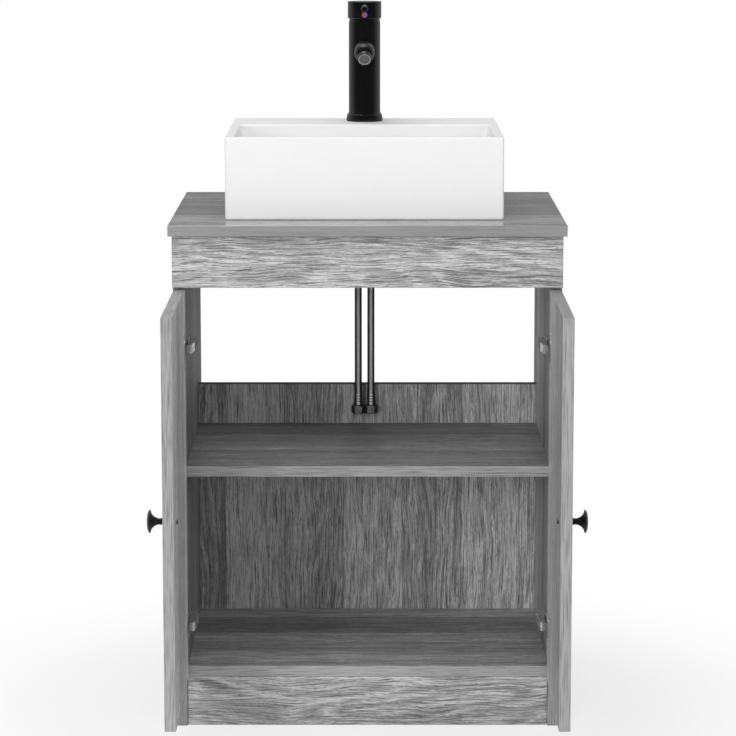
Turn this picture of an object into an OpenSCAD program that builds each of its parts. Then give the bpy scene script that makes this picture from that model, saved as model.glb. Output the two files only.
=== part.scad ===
// Sink base cabinet with two doors, a vessel basin and a single-lever mixer tap.
// Millimetres, +Z up. The doors are drawn open at 90 degrees. Y runs from the front to the wall.

/* [Carcass] */
// Thickness of every laminated board
board_t = 16; // [15:1:19]
// Width over both side panels
body_w = 570; // [500:5:700]
// Depth of the side panels
side_d = 425; // [400:5:500]
// Height of the side panels
side_h = 741; // [720:1:800]
// Height of the kick board under the bottom shelf
kick_h = 75; // [60:1:120]
// How far the kick board and the shelves stand behind the front edges
front_inset = 4; // [2:1:12]
// Height of the middle shelf's underside
shelf_z = 379; // [330:1:430]
// Height of the back panel's top edge
back_h = 458; // [440:1:520]
// Space between the back panel and the wall, for pipes
service_gap = 59; // [30:1:90]
// Height of the rear rail under the countertop
rail_h = 80; // [60:1:90]
// Height of the apron over the doors
apron_h = 77; // [60:1:90]

/* [Countertop] */
// Width of the countertop
top_w = 580; // [570:1:720]
// How far the countertop reaches over the front edges
top_over = 30; // [20:1:40]

/* [Doors] */
// Gap between the two shut doors
door_split = 3; // [2:0.5:5]
// How far a shut door's outer edge stands in from the side
door_reveal = 1; // [0.5:0.5:2]
// Gap between the doors and the apron
door_gap = 3; // [2:0.5:4]
// Height of the doors' bottom edge over the kick board
door_low = 2; // [1:1:5]
// Gap between a shut door and the front edges
shut_gap = 3; // [2.6:0.1:3.6]
// Gap between an open door and the front edges
open_gap = 5.5; // [5.3:0.1:6.5]
// How far an open door's outer face stands in from the side's outer face
open_inset = 2; // [1:0.5:3]

/* [Knobs] */
// Diameter of the knob's rim
knob_d = 33; // [28:1:38]
// How far the knob stands out of the door
knob_h = 25; // [22:1:30]
// Distance of the knob from the door's free edge
knob_in = 50; // [35:1:60]
// Height of the knobs
knob_z = 366; // [300:1:450]
// Diameter of the knob's screw
knob_screw_d = 4; // [3:0.5:5]

/* [Hinges] */
// Diameter of the hinge cup
cup_d = 35; // [35:1:36]
// Depth of the hinge cup
cup_h = 12.5; // [12.4:0.1:13]
// Distance from the door's edge to the cup's centre
cup_in = 20.5; // [20.3:0.1:21]
// Distance of the lower hinge's centre over the door's bottom edge
hinge_low = 79; // [70:1:120]
// Distance of the upper hinge's centre under the door's top edge
hinge_high = 88; // [70:1:120]
// Height of the cup's flange
flange_h = 54; // [52:1:60]
// Distance between the two cup screws
cup_screw_pitch = 44; // [42:1:45]
// Distance from the front edge to the plate's first screw
plate_screw_y = 37; // [37:1:40]
// Distance between the two plate screws
plate_screw_pitch = 32; // [30:1:34]

/* [Basin] */
// Width of the basin
basin_w = 410; // [380:1:460]
// Depth of the basin
basin_d = 347; // [320:1:360]
// Height of the basin
basin_h = 122; // [110:1:140]
// Where the basin's middle stands to the left of the cabinet's middle
basin_off = 4.5; // [0:0.5:10]
// Distance of the basin's front behind the cabinet's front edges
basin_y = 37; // [25:1:45]
// Thickness of the basin's walls
basin_wall = 13; // [11:1:16]
// Depth of the tap ledge behind the bowl
ledge_d = 122; // [110:1:130]
// Thickness of the tap ledge
ledge_t = 15; // [12:1:18]
// Thickness of the bowl's floor
bowl_floor = 18; // [15:1:22]
// How far the bowl's walls slope in down to the floor
bowl_slope = 30; // [10:1:36]

/* [Waste] */
// Diameter of the waste's threaded tail
tail_d = 41.8; // [40:0.1:43]
// Height of the tail's lower end
tail_z = 662; // [650:1:700]
// Diameter of the waste's flange in the bowl
waste_d = 63; // [60:1:68]
// How far the push plug lifts
plug_lift = 8; // [5:1:10]

/* [Tap] */
// Diameter of the tap's body
tap_d = 49; // [46:1:52]
// Diameter of the tap's base
base_d = 57; // [54:1:60]
// Height of the handle's pivot over the ledge
pivot_h = 151; // [130:1:180]
// Height of the tap over the ledge
tap_h = 186; // [183:1:190]
// Diameter of the spout
spout_d = 31; // [28:1:34]
// Reach of the spout's round end from the tap's axis
spout_reach = 85; // [70:1:110]
// Height of the spout's axis over the ledge
spout_h = 111; // [90:1:115]
// How far the nozzle tips down
nozzle_tip = 30; // [15:1:40]
// Diameter of the aerator ring
aerator_d = 19.3; // [18:0.1:20]
// Length of the lever from the cap to its tip
lever_l = 43; // [30:1:60]
// Distance of the tap's axis in front of the basin's rear face
tap_back = 50; // [40:1:60]

/* [Hoses] */
// Diameter of a supply hose
hose_d = 11.3; // [10:0.1:12]
// Distance between the two hoses
hose_pitch = 20; // [18:0.5:20]
// Distance across the flats of a hose nut
nut_af = 19; // [17:1:19]
// Bore of the hose nut's thread
nut_bore = 15; // [13:0.1:15.2]

/* [Hidden] */
$fn = 64;

// Clearance of a screw, pin or dowel in its hole, all round
fit = 0.05;
// Gap between pieces that move past each other
run_gap = 0.3;
// A cut reaches this far past the face that it opens
eps = 1;
// Size of the small chamfer along every board's edges
arris = 0.6;

// Boards
half_w = body_w / 2;
inner_x = half_w - board_t;
back_y = side_d - service_gap - board_t;
shelf_d = back_y - front_inset;
top_z = side_h + board_t;
door_bottom = kick_h + door_low;
door_top = side_h - apron_h - door_gap;
door_h = door_top - door_bottom;
door_w = half_w - door_reveal - door_split / 2;
// The doors' free edges are the foremost places, and the walls' edges the rearmost
front_y = (open_gap + door_w - side_d) / 2;

// The one axis that carries a door from shut to open
shut_edge_x = half_w - door_reveal;
open_face_x = half_w - open_inset;
pivot_x = (open_face_x - shut_gap - board_t + shut_edge_x + open_gap) / 2;
pivot_y = open_face_x - shut_gap - board_t - pivot_x;
open_inner_x = open_face_x - board_t;

// Joinery: a cam and a dowel near each end of a board
dowel_d = 8;
dowel_l = 30;
dowel_deep = 10.5;
cam_pin_d = 6;
cam_pin_l = 40;
cam_pin_deep = 10;
cam_d = 15;
cam_h = 12;
cam_in = 34;
joint_in = 56;
dowel_step = 32;
bracket_a = 28;
bracket_t = 2;
bracket_w = 18;
bracket_y = [70, side_d - 110];
wood_screw_d = 4;
wood_screw_l = 12;
head_d = 7.4;
head_h = 1.8;
wall_hole_d = 6;
wall_hole_pitch = 400;

// Hinge
cup_wall = 0.9;
cup_floor = 0.6;
flange_t = 1.6;
flange_r = 19.2;
flange_edge = 4.7;
wing_d = 9;
wing_back = 6;
cup_screw_d = 3.4;
cup_screw_l = 11;
cup_head_d = 6.4;
cup_head_h = 1;
pin_d = 2;
pin_l = 20;
eye_d = 3.8;
eye_w = 8;
arm_w = 13;
arm_wall = 1.5;
arm_x0 = inner_x - 15;
arm_nose_x = inner_x - 12.5;
arm_front_x = pivot_x - 13.25;
arm_end_y = 60;
plate_t = 4.5;
plate_w = 16;
plate_end = 9;
plate_screw_d = 6;
plate_screw_l = 11;
plate_head_d = 8;
plate_head_h = 1.6;
arm_screw_y = [20, 52];
arm_screw_d = 4;
arm_head_d = 6;
arm_head_h = 1.2;

// Knob profile: radius and height from the door
knob_base_d = 14;
knob_neck_d = 8.6;
knob_rim_h = knob_h - 4.5;
knob_bore_l = 12;
knob_screw_head_d = 8;
knob_screw_head_h = 2.2;

// Basin, bowl and waste
basin_x = -basin_off;
basin_z = top_z;
rim_z = basin_z + basin_h;
bowl_y0 = basin_y + basin_wall;
bowl_y1 = basin_y + basin_d - ledge_d;
bowl_mid_y = (bowl_y0 + bowl_y1) / 2;
floor_z = basin_z + bowl_floor;
bowl_r = 9;
bowl_floor_r = 22;
ball_sides = 32;
basin_edge = 3;
waste_hole_d = tail_d + 4;
waste_flange_t = 3;
gasket_t = 1;
top_hole_play = 4;
hose_hole_play = 10;
waste_nut_d = 60;
waste_nut_h = 12;
waste_washer_t = 3;
tail_free = 40;
tail_groove_h = 2;
tail_groove_t = 0.5;
tail_bore_d = 34;
web_t = 5;
web_w = 4;
guide_deep = 34;
stem_d = 10;
stem_spare = 5;
stem_l = guide_deep + waste_flange_t + plug_lift + stem_spare;
plug_t = 4;

// Tap
tap_x = basin_x - 0.2;
tap_y = basin_y + basin_d - tap_back;
tap_z0 = rim_z + gasket_t;
pivot_z = rim_z + pivot_h;
cap_top = rim_z + tap_h;
tap_r = tap_d / 2;
base_h = 13;
tap_hole_d = 35;
dome_gap = 0.5;
cap_r = tap_r + 1.65;
cap_low = 8.2;
cap_chamfer = 1.8;
dome_open_d = 30;
cart_d = 35;
cart_h = 53;
cart_top = 8;
ring_h = 4.5;
collar_d = 24;
collar_low = 8;
tongue_w = 6;
tongue_d = 10;
spindle_pin_d = 3;
spindle_a = 8;
spindle_top = 31;
lever_r = 6;
lever_tip_r = 4.9;
lever_h = 25.6;
dot_r = 4.4;
dot_h = 15;
dot_t = 3;
spout_r = spout_d / 2;
spigot_d = 24;
spigot_l = 5;
nozzle_r = aerator_d / 2 + 1.1;
nozzle_l = 18.5;
aerator_l = 7;
aerator_wall = 1.9;
mesh_t = 1.2;
water_d = 12;
nozzle_bore_d = 10;

// Fixing under the ledge
stud_d = 6;
stud_off = 11;
stud_up = 16;
stud_down = 40;
washer_t = 2.5;
washer_d = 46;
tap_nut_af = 10;
tap_nut_h = 5;
slot_w = tap_hole_d;

// Hoses: heights of the crimped ferrules and nuts, and the route of the free stretch
ferrule_d = 12.6;
ferrule_top_z = rim_z - 1;
tail_in = 13;
tail_pin_d = 10;
hose_nut_z = 414;
nut_h = 13;
nut_deep = 9;
nut_thread_l = 6.5;
nut_seat_d = nut_bore - 0.4;
hose_sides = 12;
hose_route = [
    [0, 0, 858], [0, 0, 830], [0, 0, 800], [0, 0, 770], [0, 0, 740], [0, 0, 710], [0, 0, 680],
    [0, 0, 650], [0, 0, 620], [0, 0, 590], [0, 0, 560], [0, 0, 530], [0, 0, 500], [0, 0, 470],
    [0, 0, 446]
];

// Colours
oak = [0.58, 0.58, 0.57];
zinc = [0.8, 0.81, 0.82];
black = [0.09, 0.09, 0.09];
steel = [0.35, 0.35, 0.36];

// Moves a piece from places measured at the front edges to the part's own origin
module at_front() {
    translate([0, front_y, 0]) children();
}

// Draws a right-hand piece on the left
module on_left() {
    mirror([1, 0, 0]) children();
}

// A rectangle with its corners cut
module cut_corners(a, b) {
    polygon([
        [arris, 0], [a - arris, 0], [a, arris], [a, b - arris],
        [a - arris, b], [arris, b], [0, b - arris], [0, arris]
    ]);
}

// A laminated board with a small chamfer on all its edges
module board(from, size) {
    translate(from) intersection() {
        linear_extrude(size[2]) cut_corners(size[0], size[1]);
        rotate([90, 0, 90]) linear_extrude(size[0]) cut_corners(size[1], size[2]);
        translate([0, size[1], 0]) rotate([90, 0, 0])
            linear_extrude(size[1]) cut_corners(size[0], size[2]);
    }
}

// A rod along X from a point
module rod_x(p, d, l) {
    translate(p) rotate([0, 90, 0]) cylinder(d = d, h = l);
}

// A rod along Y from a point
module rod_y(p, d, l) {
    translate(p) rotate([-90, 0, 0]) cylinder(d = d, h = l);
}

// A rod along Z from a point
module rod_z(p, d, l) {
    translate(p) cylinder(d = d, h = l);
}

// Where boards meet the right-hand side: [y, z] of each dowel and of each cam
shelf_dowels = [
    for (z = [kick_h, shelf_z],
        y = [front_inset + joint_in + dowel_step, back_y - joint_in - dowel_step])
        [y, z + board_t / 2]
];
shelf_cams = [
    for (z = [kick_h, shelf_z], y = [front_inset + joint_in, back_y - joint_in]) [y, z + board_t / 2]
];
kick_dowels = [
    for (z = [kick_h / 4, kick_h * 3 / 4]) [front_inset + board_t / 2, z]
];
back_dowels = [
    for (z = [kick_h * 2, back_h - joint_in]) [back_y + board_t / 2, z]
];
rail_dowels = [
    for (z = [side_h - rail_h + dowel_step / 2, side_h - dowel_step]) [side_d - board_t / 2, z]
];
side_dowels = concat(shelf_dowels, kick_dowels, back_dowels, rail_dowels);
apron_dowel_z = [door_top + door_gap + dowel_step / 2, side_h - dowel_step / 2];
top_dowel_y = [joint_in, side_d - joint_in];
side_mid_x = half_w - board_t / 2;

// Right-hand dowels. grow widens them into their holes
module right_dowels(grow = 0) {
    d = dowel_d + 2 * grow;
    for (p = side_dowels)
        rod_x([inner_x - dowel_l + dowel_deep - grow, p[0], p[1]], d, dowel_l + 2 * grow);
    for (z = apron_dowel_z)
        rod_y([side_mid_x, -dowel_deep - grow, z], d, dowel_l + 2 * grow);
    for (y = top_dowel_y)
        rod_z([side_mid_x, y, side_h + dowel_deep - dowel_l - grow], d, dowel_l + 2 * grow);
}

// Right-hand cam bolts, screwed into the side and held by the cam nuts
module right_cam_bolts(grow = 0) {
    for (p = shelf_cams)
        rod_x([inner_x + cam_pin_deep - cam_pin_l - grow, p[0], p[1]], cam_pin_d + 2 * grow,
            cam_pin_l + 2 * grow);
}

// Right-hand cam nuts, flush with the shelf's underside
module right_cam_nuts(grow = 0) {
    for (p = shelf_cams)
        rod_z([inner_x - cam_in, p[0], p[1] - board_t / 2 - (grow > 0 ? eps : 0)], cam_d + 2 * grow,
            cam_h + (grow > 0 ? eps + grow : 0));
}

// Right-hand bracket screws: into the side and up into the countertop
module right_bracket_screws(grow = 0) {
    d = wood_screw_d + 2 * grow;
    for (y = bracket_y) {
        rod_x([inner_x - bracket_t, y, side_h - bracket_a * 0.6], d, wood_screw_l + grow);
        rod_z([inner_x - bracket_a * 0.6, y, side_h - bracket_t], d, wood_screw_l + grow);
    }
}

// Cuts every joinery hole of both sides
module joinery_holes() {
    for (side = [0, 1]) mirror([side, 0, 0]) {
        right_dowels(fit);
        right_cam_bolts(fit);
        right_cam_nuts(fit);
        right_bracket_screws(fit);
    }
}

hinge_z = [door_bottom + hinge_low, door_top - hinge_high];
cup_y = -open_gap - cup_in;
cup_screw_y = cup_y - wing_back;

// The right-hand side panel
module right_side_panel() {
    difference() {
        board([inner_x, 0, 0], [board_t, side_d, side_h]);
        right_dowels(fit);
        right_cam_bolts(fit);
        right_bracket_screws(fit);
        for (z = hinge_z) right_plate_screw_shafts(z, fit);
    }
}

module left_side() {
    color(oak) at_front() on_left() right_side_panel();
}

module right_side() {
    color(oak) at_front() right_side_panel();
}

// A shelf between the sides
module shelf(z) {
    difference() {
        board([-inner_x, front_inset, z], [2 * inner_x, shelf_d, board_t]);
        joinery_holes();
    }
}

module bottom_shelf() {
    color(oak) at_front() shelf(kick_h);
}

module middle_shelf() {
    color(oak) at_front() shelf(shelf_z);
}

module back_panel() {
    color(oak) at_front() difference() {
        board([-inner_x, back_y, 0], [2 * inner_x, board_t, back_h]);
        joinery_holes();
    }
}

module kick_board() {
    color(oak) at_front() difference() {
        board([-inner_x, front_inset, 0], [2 * inner_x, board_t, kick_h]);
        joinery_holes();
    }
}

module rear_rail() {
    color(oak) at_front() difference() {
        board([-inner_x, side_d - board_t, side_h - rail_h], [2 * inner_x, board_t, rail_h]);
        joinery_holes();
        for (side = [-1, 1])
            rod_y([side * wall_hole_pitch / 2, side_d - board_t - eps, side_h - rail_h / 2],
                wall_hole_d, board_t + 2 * eps);
    }
}

module apron() {
    color(oak) at_front() difference() {
        board([-half_w, -board_t, side_h - apron_h], [body_w, board_t, apron_h]);
        joinery_holes();
    }
}

module countertop() {
    color(oak) at_front() difference() {
        board([-top_w / 2, -top_over, side_h], [top_w, side_d + top_over, board_t]);
        joinery_holes();
        rod_z([basin_x, bowl_mid_y, side_h - eps], waste_hole_d + top_hole_play, board_t + 2 * eps);
        rod_z([tap_x, tap_y, side_h - eps], tap_hole_d + hose_hole_play, board_t + 2 * eps);
    }
}

module dowels() {
    color("burlywood") at_front() for (side = [0, 1]) mirror([side, 0, 0]) right_dowels();
}

module cam_bolts() {
    color(zinc) at_front() for (side = [0, 1]) mirror([side, 0, 0]) right_cam_bolts();
}

// A cam nut holds its bolt in a cross bore and has a driver slot below
module cam_nuts() {
    color(zinc) at_front() for (side = [0, 1]) mirror([side, 0, 0]) difference() {
        right_cam_nuts();
        right_cam_bolts(run_gap);
        for (p = shelf_cams)
            translate([inner_x - cam_in - 4.5, p[0] - 0.6, p[1] - board_t / 2 - eps])
                cube([9, 1.2, eps + 1.5]);
    }
}

module corner_brackets() {
    color(zinc) at_front() for (side = [0, 1]) mirror([side, 0, 0]) difference() {
        for (y = bracket_y) translate([inner_x, y - bracket_w / 2, side_h])
            rotate([-90, 0, 0]) linear_extrude(bracket_w) polygon([
                [0, 0], [-bracket_a, 0], [-bracket_a, bracket_t], [-bracket_t, bracket_t],
                [-bracket_t, bracket_a], [0, bracket_a]
            ]);
        right_bracket_screws(fit);
    }
}

module bracket_screws() {
    color(zinc) at_front() for (side = [0, 1]) mirror([side, 0, 0]) {
        right_bracket_screws();
        for (y = bracket_y) {
            rod_x([inner_x - bracket_t - head_h, y, side_h - bracket_a * 0.6], head_d, head_h);
            rod_z([inner_x - bracket_a * 0.6, y, side_h - bracket_t - head_h], head_d, head_h);
        }
    }
}

// The right-hand door, open at 90 degrees
module right_door_board() {
    difference() {
        board([open_inner_x, -open_gap - door_w, door_bottom], [board_t, door_w, door_h]);
        for (z = hinge_z) {
            rod_x([open_inner_x - eps, cup_y, z], cup_d + 2 * fit, cup_h + fit + eps);
            right_cup_screw_shafts(z, fit);
        }
        rod_x([open_inner_x - eps, -open_gap - door_w + knob_in, knob_z], knob_screw_d + 1,
            board_t + 2 * eps);
    }
}

module left_door() {
    color(oak) at_front() on_left() right_door_board();
}

module right_door() {
    color(oak) at_front() right_door_board();
}

knob_y = -open_gap - door_w + knob_in;

// The flared knob: a foot, a waist and a domed mushroom head
module right_knob_body() {
    translate([open_face_x, knob_y, knob_z]) rotate([0, 90, 0]) difference() {
        rotate_extrude() polygon(concat(
            [[0, 0], [knob_base_d / 2 - 0.6, 0], [knob_base_d / 2, 0.8], [knob_base_d / 2 - 0.6, 2.4]],
            [for (a = [0 : 15 : 75]) [
                knob_neck_d / 2 + (knob_base_d / 2 - knob_neck_d / 2 - 1) * (1 - sin(a)),
                2.8 + 5.2 * (1 - cos(a))
            ]],
            [for (a = [0 : 15 : 75]) [
                knob_neck_d / 2 + (knob_d / 2 - knob_neck_d / 2) * (1 - cos(a)),
                8 + (knob_rim_h - 8) * sin(a)
            ]],
            [[knob_d / 2, knob_rim_h]],
            [for (a = [15 : 15 : 90]) [
                knob_d / 2 * cos(a), knob_rim_h + (knob_h - knob_rim_h) * sin(a)
            ]]
        ));
        translate([0, 0, -eps]) cylinder(d = knob_screw_d + 2 * fit, h = knob_bore_l + eps);
    }
}

module left_knob() {
    color(black) at_front() on_left() right_knob_body();
}

module right_knob() {
    color(black) at_front() right_knob_body();
}

// The knob's screw, with its head on the door's inner face
module right_knob_screw_body() {
    rod_x([open_inner_x, knob_y, knob_z], knob_screw_d, board_t + knob_bore_l - 2);
    difference() {
        rod_x([open_inner_x - knob_screw_head_h, knob_y, knob_z], knob_screw_head_d,
            knob_screw_head_h);
        for (a = [0, 90]) translate([open_inner_x - knob_screw_head_h, knob_y, knob_z])
            rotate([a, 0, 0]) translate([-eps, -2.2, -0.5]) cube([eps + 1.2, 4.4, 1]);
    }
}

module left_knob_screw() {
    color(steel) at_front() on_left() right_knob_screw_body();
}

module right_knob_screw() {
    color(steel) at_front() right_knob_screw_body();
}

// The screws that hold a hinge cup's flange on the door
module right_cup_screw_shafts(z, grow = 0) {
    for (side = [-1, 1])
        rod_x([open_inner_x - flange_t, cup_screw_y, z + side * cup_screw_pitch / 2],
            cup_screw_d + 2 * grow, flange_t + cup_screw_l + grow);
}

// The outline of a cup's flange: a disc cut straight near the door's edge, and two wings
module flange_outline() {
    span = flange_h - wing_d;
    intersection() {
        circle(r = flange_r);
        translate([-flange_r, -flange_r])
            square([2 * flange_r, flange_r + pivot_y - cup_y + flange_edge]);
    }
    translate([0, -wing_back]) {
        for (side = [-1, 1]) translate([side * span / 2, 0]) circle(d = wing_d);
        translate([-span / 2, -wing_d / 2]) square([span, wing_d]);
    }
}

// The hinge cup with its flange, sunk in the door
module right_hinge_cup(z) {
    difference() {
        union() {
            rod_x([open_inner_x, cup_y, z], cup_d, cup_h);
            translate([open_inner_x, cup_y, z]) rotate([0, -90, 0])
                linear_extrude(flange_t) flange_outline();
        }
        rod_x([open_inner_x - flange_t - eps, cup_y, z], cup_d - 2 * cup_wall,
            flange_t + eps + cup_h - cup_floor);
        rod_z([pivot_x, pivot_y, z - pin_l / 2 - fit], pin_d + 2 * fit, pin_l + 2 * fit);
        right_cup_screw_shafts(z, fit);
    }
}

module left_upper_hinge_cup() {
    color(zinc) at_front() on_left() right_hinge_cup(hinge_z[1]);
}

module left_lower_hinge_cup() {
    color(zinc) at_front() on_left() right_hinge_cup(hinge_z[0]);
}

module right_upper_hinge_cup() {
    color(zinc) at_front() right_hinge_cup(hinge_z[1]);
}

module right_lower_hinge_cup() {
    color(zinc) at_front() right_hinge_cup(hinge_z[0]);
}

// The screws that hold a mounting plate on the side
module right_plate_screw_shafts(z, grow = 0) {
    for (i = [0, 1])
        rod_x([inner_x - plate_t, plate_screw_y + i * plate_screw_pitch, z],
            plate_screw_d + 2 * grow, plate_t + plate_screw_l + grow);
}

// The screws through the arm: the front one adjusts it, the rear one clamps it on the plate
module right_arm_screw_shafts(z, grow = 0) {
    rod_x([arm_x0, arm_screw_y[0], z], arm_screw_d + 2 * grow, 9);
    rod_x([arm_x0, arm_screw_y[1], z], arm_screw_d + 2 * grow, 13 + grow);
}

// The cranked arm: a channel over the plate, a nose into the cup and an eye round the pin
module right_hinge_arm(z) {
    nose_y = pivot_y - eye_d / 2;
    translate([0, 0, z]) difference() {
        union() {
            translate([0, 0, -arm_w / 2]) linear_extrude(arm_w) polygon([
                [arm_x0, arm_end_y], [arm_x0, 8], [arm_nose_x, 0], [arm_nose_x, nose_y + 3],
                [arm_nose_x + 3, nose_y], [arm_front_x, nose_y], [arm_front_x, 4],
                [inner_x - plate_t, 10], [inner_x - plate_t, arm_end_y]
            ]);
            translate([0, 0, -eye_w / 2]) linear_extrude(eye_w) polygon([
                [arm_front_x - 1, nose_y], [pivot_x, nose_y],
                [pivot_x, pivot_y + eye_d / 2 - 0.5], [arm_front_x - 1, pivot_y + eye_d / 2 - 0.5]
            ]);
            rod_z([pivot_x, pivot_y, -eye_w / 2], eye_d, eye_w);
        }
        translate([arm_x0 + arm_wall, 12, -arm_w / 2 + arm_wall])
            cube([20, arm_end_y, arm_w - 2 * arm_wall]);
        rod_z([pivot_x, pivot_y, -eye_w], pin_d + 2 * fit, 2 * eye_w);
        right_arm_screw_shafts(0, fit);
    }
}

module left_upper_hinge_arm() {
    color(zinc) at_front() on_left() right_hinge_arm(hinge_z[1]);
}

module left_lower_hinge_arm() {
    color(zinc) at_front() on_left() right_hinge_arm(hinge_z[0]);
}

module right_upper_hinge_arm() {
    color(zinc) at_front() right_hinge_arm(hinge_z[1]);
}

module right_lower_hinge_arm() {
    color(zinc) at_front() right_hinge_arm(hinge_z[0]);
}

module right_pins() {
    for (z = hinge_z) rod_z([pivot_x, pivot_y, z - pin_l / 2], pin_d, pin_l);
}

module left_hinge_pins() {
    color(zinc) at_front() on_left() right_pins();
}

module right_hinge_pins() {
    color(zinc) at_front() right_pins();
}

// The mounting plates, with a raised middle under the arm's clamping screw
module right_plates() {
    plate_y0 = plate_screw_y - plate_end;
    plate_l = plate_screw_pitch + 2 * plate_end;
    for (z = hinge_z) difference() {
        union() {
            translate([inner_x - plate_t, plate_y0, z - plate_w / 2])
                cube([plate_t, plate_l, plate_w]);
            translate([inner_x - plate_t - 3, arm_screw_y[1] - 6, z - 4]) cube([4, 12, 8]);
        }
        right_plate_screw_shafts(z, fit);
        right_arm_screw_shafts(z, fit);
    }
}

module left_hinge_plates() {
    color(zinc) at_front() on_left() right_plates();
}

module right_hinge_plates() {
    color(zinc) at_front() right_plates();
}

module right_cup_screws_all() {
    for (z = hinge_z) {
        right_cup_screw_shafts(z);
        for (side = [-1, 1]) difference() {
            rod_x([open_inner_x - flange_t - cup_head_h, cup_screw_y,
                z + side * cup_screw_pitch / 2], cup_head_d, cup_head_h);
            for (a = [0, 90])
                translate([open_inner_x - flange_t - cup_head_h, cup_screw_y,
                    z + side * cup_screw_pitch / 2])
                    rotate([a, 0, 0]) translate([-eps, -1.8, -0.4]) cube([eps + 0.6, 3.6, 0.8]);
        }
    }
}

module left_cup_screws() {
    color(zinc) at_front() on_left() right_cup_screws_all();
}

module right_cup_screws() {
    color(zinc) at_front() right_cup_screws_all();
}

module plate_screws() {
    color(zinc) at_front() for (side = [0, 1]) mirror([side, 0, 0]) for (z = hinge_z) {
        right_plate_screw_shafts(z);
        for (i = [0, 1])
            rod_x([inner_x - plate_t - plate_head_h, plate_screw_y + i * plate_screw_pitch, z],
                plate_head_d, plate_head_h);
    }
}

module arm_screws() {
    color(zinc) at_front() for (side = [0, 1]) mirror([side, 0, 0]) for (z = hinge_z) {
        right_arm_screw_shafts(z);
        for (y = arm_screw_y) difference() {
            rod_x([arm_x0 - arm_head_h, y, z], arm_head_d, arm_head_h);
            for (a = [0, 90]) translate([arm_x0 - arm_head_h, y, z])
                rotate([a, 0, 0]) translate([-eps, -1.8, -0.4]) cube([eps + 0.6, 3.6, 0.8]);
        }
    }
}

// The bowl's hollow: a rounded rectangle that narrows towards a rounded floor
module bowl_space() {
    x0 = basin_x - basin_w / 2 + basin_wall;
    x1 = basin_x + basin_w / 2 - basin_wall;
    hull() {
        for (x = [x0 + bowl_r, x1 - bowl_r], y = [bowl_y0 + bowl_r, bowl_y1 - bowl_r])
            translate([x, y, rim_z - 4]) cylinder(r = bowl_r, h = 4 + eps, $fn = ball_sides);
        for (x = [x0 + bowl_slope + bowl_floor_r, x1 - bowl_slope - bowl_floor_r],
            y = [bowl_y0 + bowl_slope + bowl_floor_r, bowl_y1 - bowl_slope - bowl_floor_r])
            translate([x, y, floor_z + bowl_floor_r * cos(180 / ball_sides)])
                sphere(r = bowl_floor_r, $fn = ball_sides);
    }
}

// A block with rounded upright corners
module basin_block() {
    x0 = basin_x - basin_w / 2;
    e = basin_edge;
    translate([x0 + e, basin_y, basin_z]) cube([basin_w - 2 * e, basin_d, basin_h]);
    translate([x0, basin_y + e, basin_z]) cube([basin_w, basin_d - 2 * e, basin_h]);
    for (x = [x0 + e, x0 + basin_w - e], y = [basin_y + e, basin_y + basin_d - e])
        translate([x, y, basin_z]) cylinder(r = e, h = basin_h);
}

module basin() {
    cavity_y = bowl_y1 + basin_wall;
    color("white") at_front() difference() {
        basin_block();
        bowl_space();
        translate([basin_x - basin_w / 2 + basin_wall, cavity_y, basin_z - eps])
            cube([basin_w - 2 * basin_wall, basin_y + basin_d - basin_wall - cavity_y,
                basin_h - ledge_t + eps]);
        rod_z([basin_x, bowl_mid_y, basin_z - eps], waste_hole_d, basin_h);
        rod_z([tap_x, tap_y, rim_z - ledge_t - eps], tap_hole_d, ledge_t + 2 * eps);
    }
}

nut_z = side_h - waste_washer_t - waste_nut_h;

// The waste: flange in the bowl, threaded tail with a relief groove over the trap's thread,
// and a cross bar with a hub that guides the plug's stem
module waste_body() {
    web_z = floor_z - guide_deep;
    color(zinc) at_front() translate([basin_x, bowl_mid_y, 0]) difference() {
        union() {
            difference() {
                union() {
                    translate([0, 0, tail_z]) cylinder(d = tail_d, h = floor_z - tail_z + 1);
                    translate([0, 0, floor_z]) cylinder(d = waste_d, h = waste_flange_t);
                }
                translate([0, 0, tail_z - eps]) cylinder(d = tail_bore_d, h = basin_h + side_h);
                translate([0, 0, tail_z + tail_free]) difference() {
                    cylinder(d = tail_d + eps, h = tail_groove_h);
                    translate([0, 0, -eps])
                        cylinder(d = tail_d - 2 * tail_groove_t, h = tail_groove_h + 2 * eps);
                }
            }
            translate([0, 0, web_z]) cylinder(d = stem_d + 5, h = web_t);
            translate([-tail_bore_d / 2 - 1, -web_w / 2, web_z])
                cube([tail_bore_d + 2, web_w, web_t]);
        }
        translate([0, 0, web_z - eps]) cylinder(d = stem_d + 4 * fit, h = web_t + 2 * eps);
    }
}

// The push plug: a domed cap on a guided stem
module waste_plug() {
    z0 = floor_z + waste_flange_t + run_gap;
    color(zinc) at_front() translate([basin_x, bowl_mid_y, 0]) {
        translate([0, 0, z0]) rotate_extrude() polygon([
            [0, 0], [waste_d / 2 - 2, 0], [waste_d / 2 - 0.5, 1], [waste_d / 2 - 0.5, plug_t - 1.5],
            [waste_d / 2 - 2, plug_t - 0.4], [waste_d / 4, plug_t], [0, plug_t + 0.4]
        ]);
        translate([0, 0, z0 - stem_l]) cylinder(d = stem_d, h = stem_l + 1);
    }
}

// The clamping nut and its washer under the countertop
module waste_nut() {
    color(steel) at_front() translate([basin_x, bowl_mid_y, 0]) difference() {
        union() {
            translate([0, 0, nut_z]) cylinder(d = waste_nut_d, h = waste_nut_h, $fn = 8);
            translate([0, 0, nut_z + waste_nut_h]) cylinder(d = waste_nut_d + 4, h = waste_washer_t);
        }
        translate([0, 0, nut_z - eps]) cylinder(d = tail_d + 2 * fit, h = 30);
    }
}

// Places a piece on the tap's axis, with Z measured from the world's floor
module at_tap() {
    at_front() translate([tap_x, tap_y, 0]) children();
}

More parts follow.
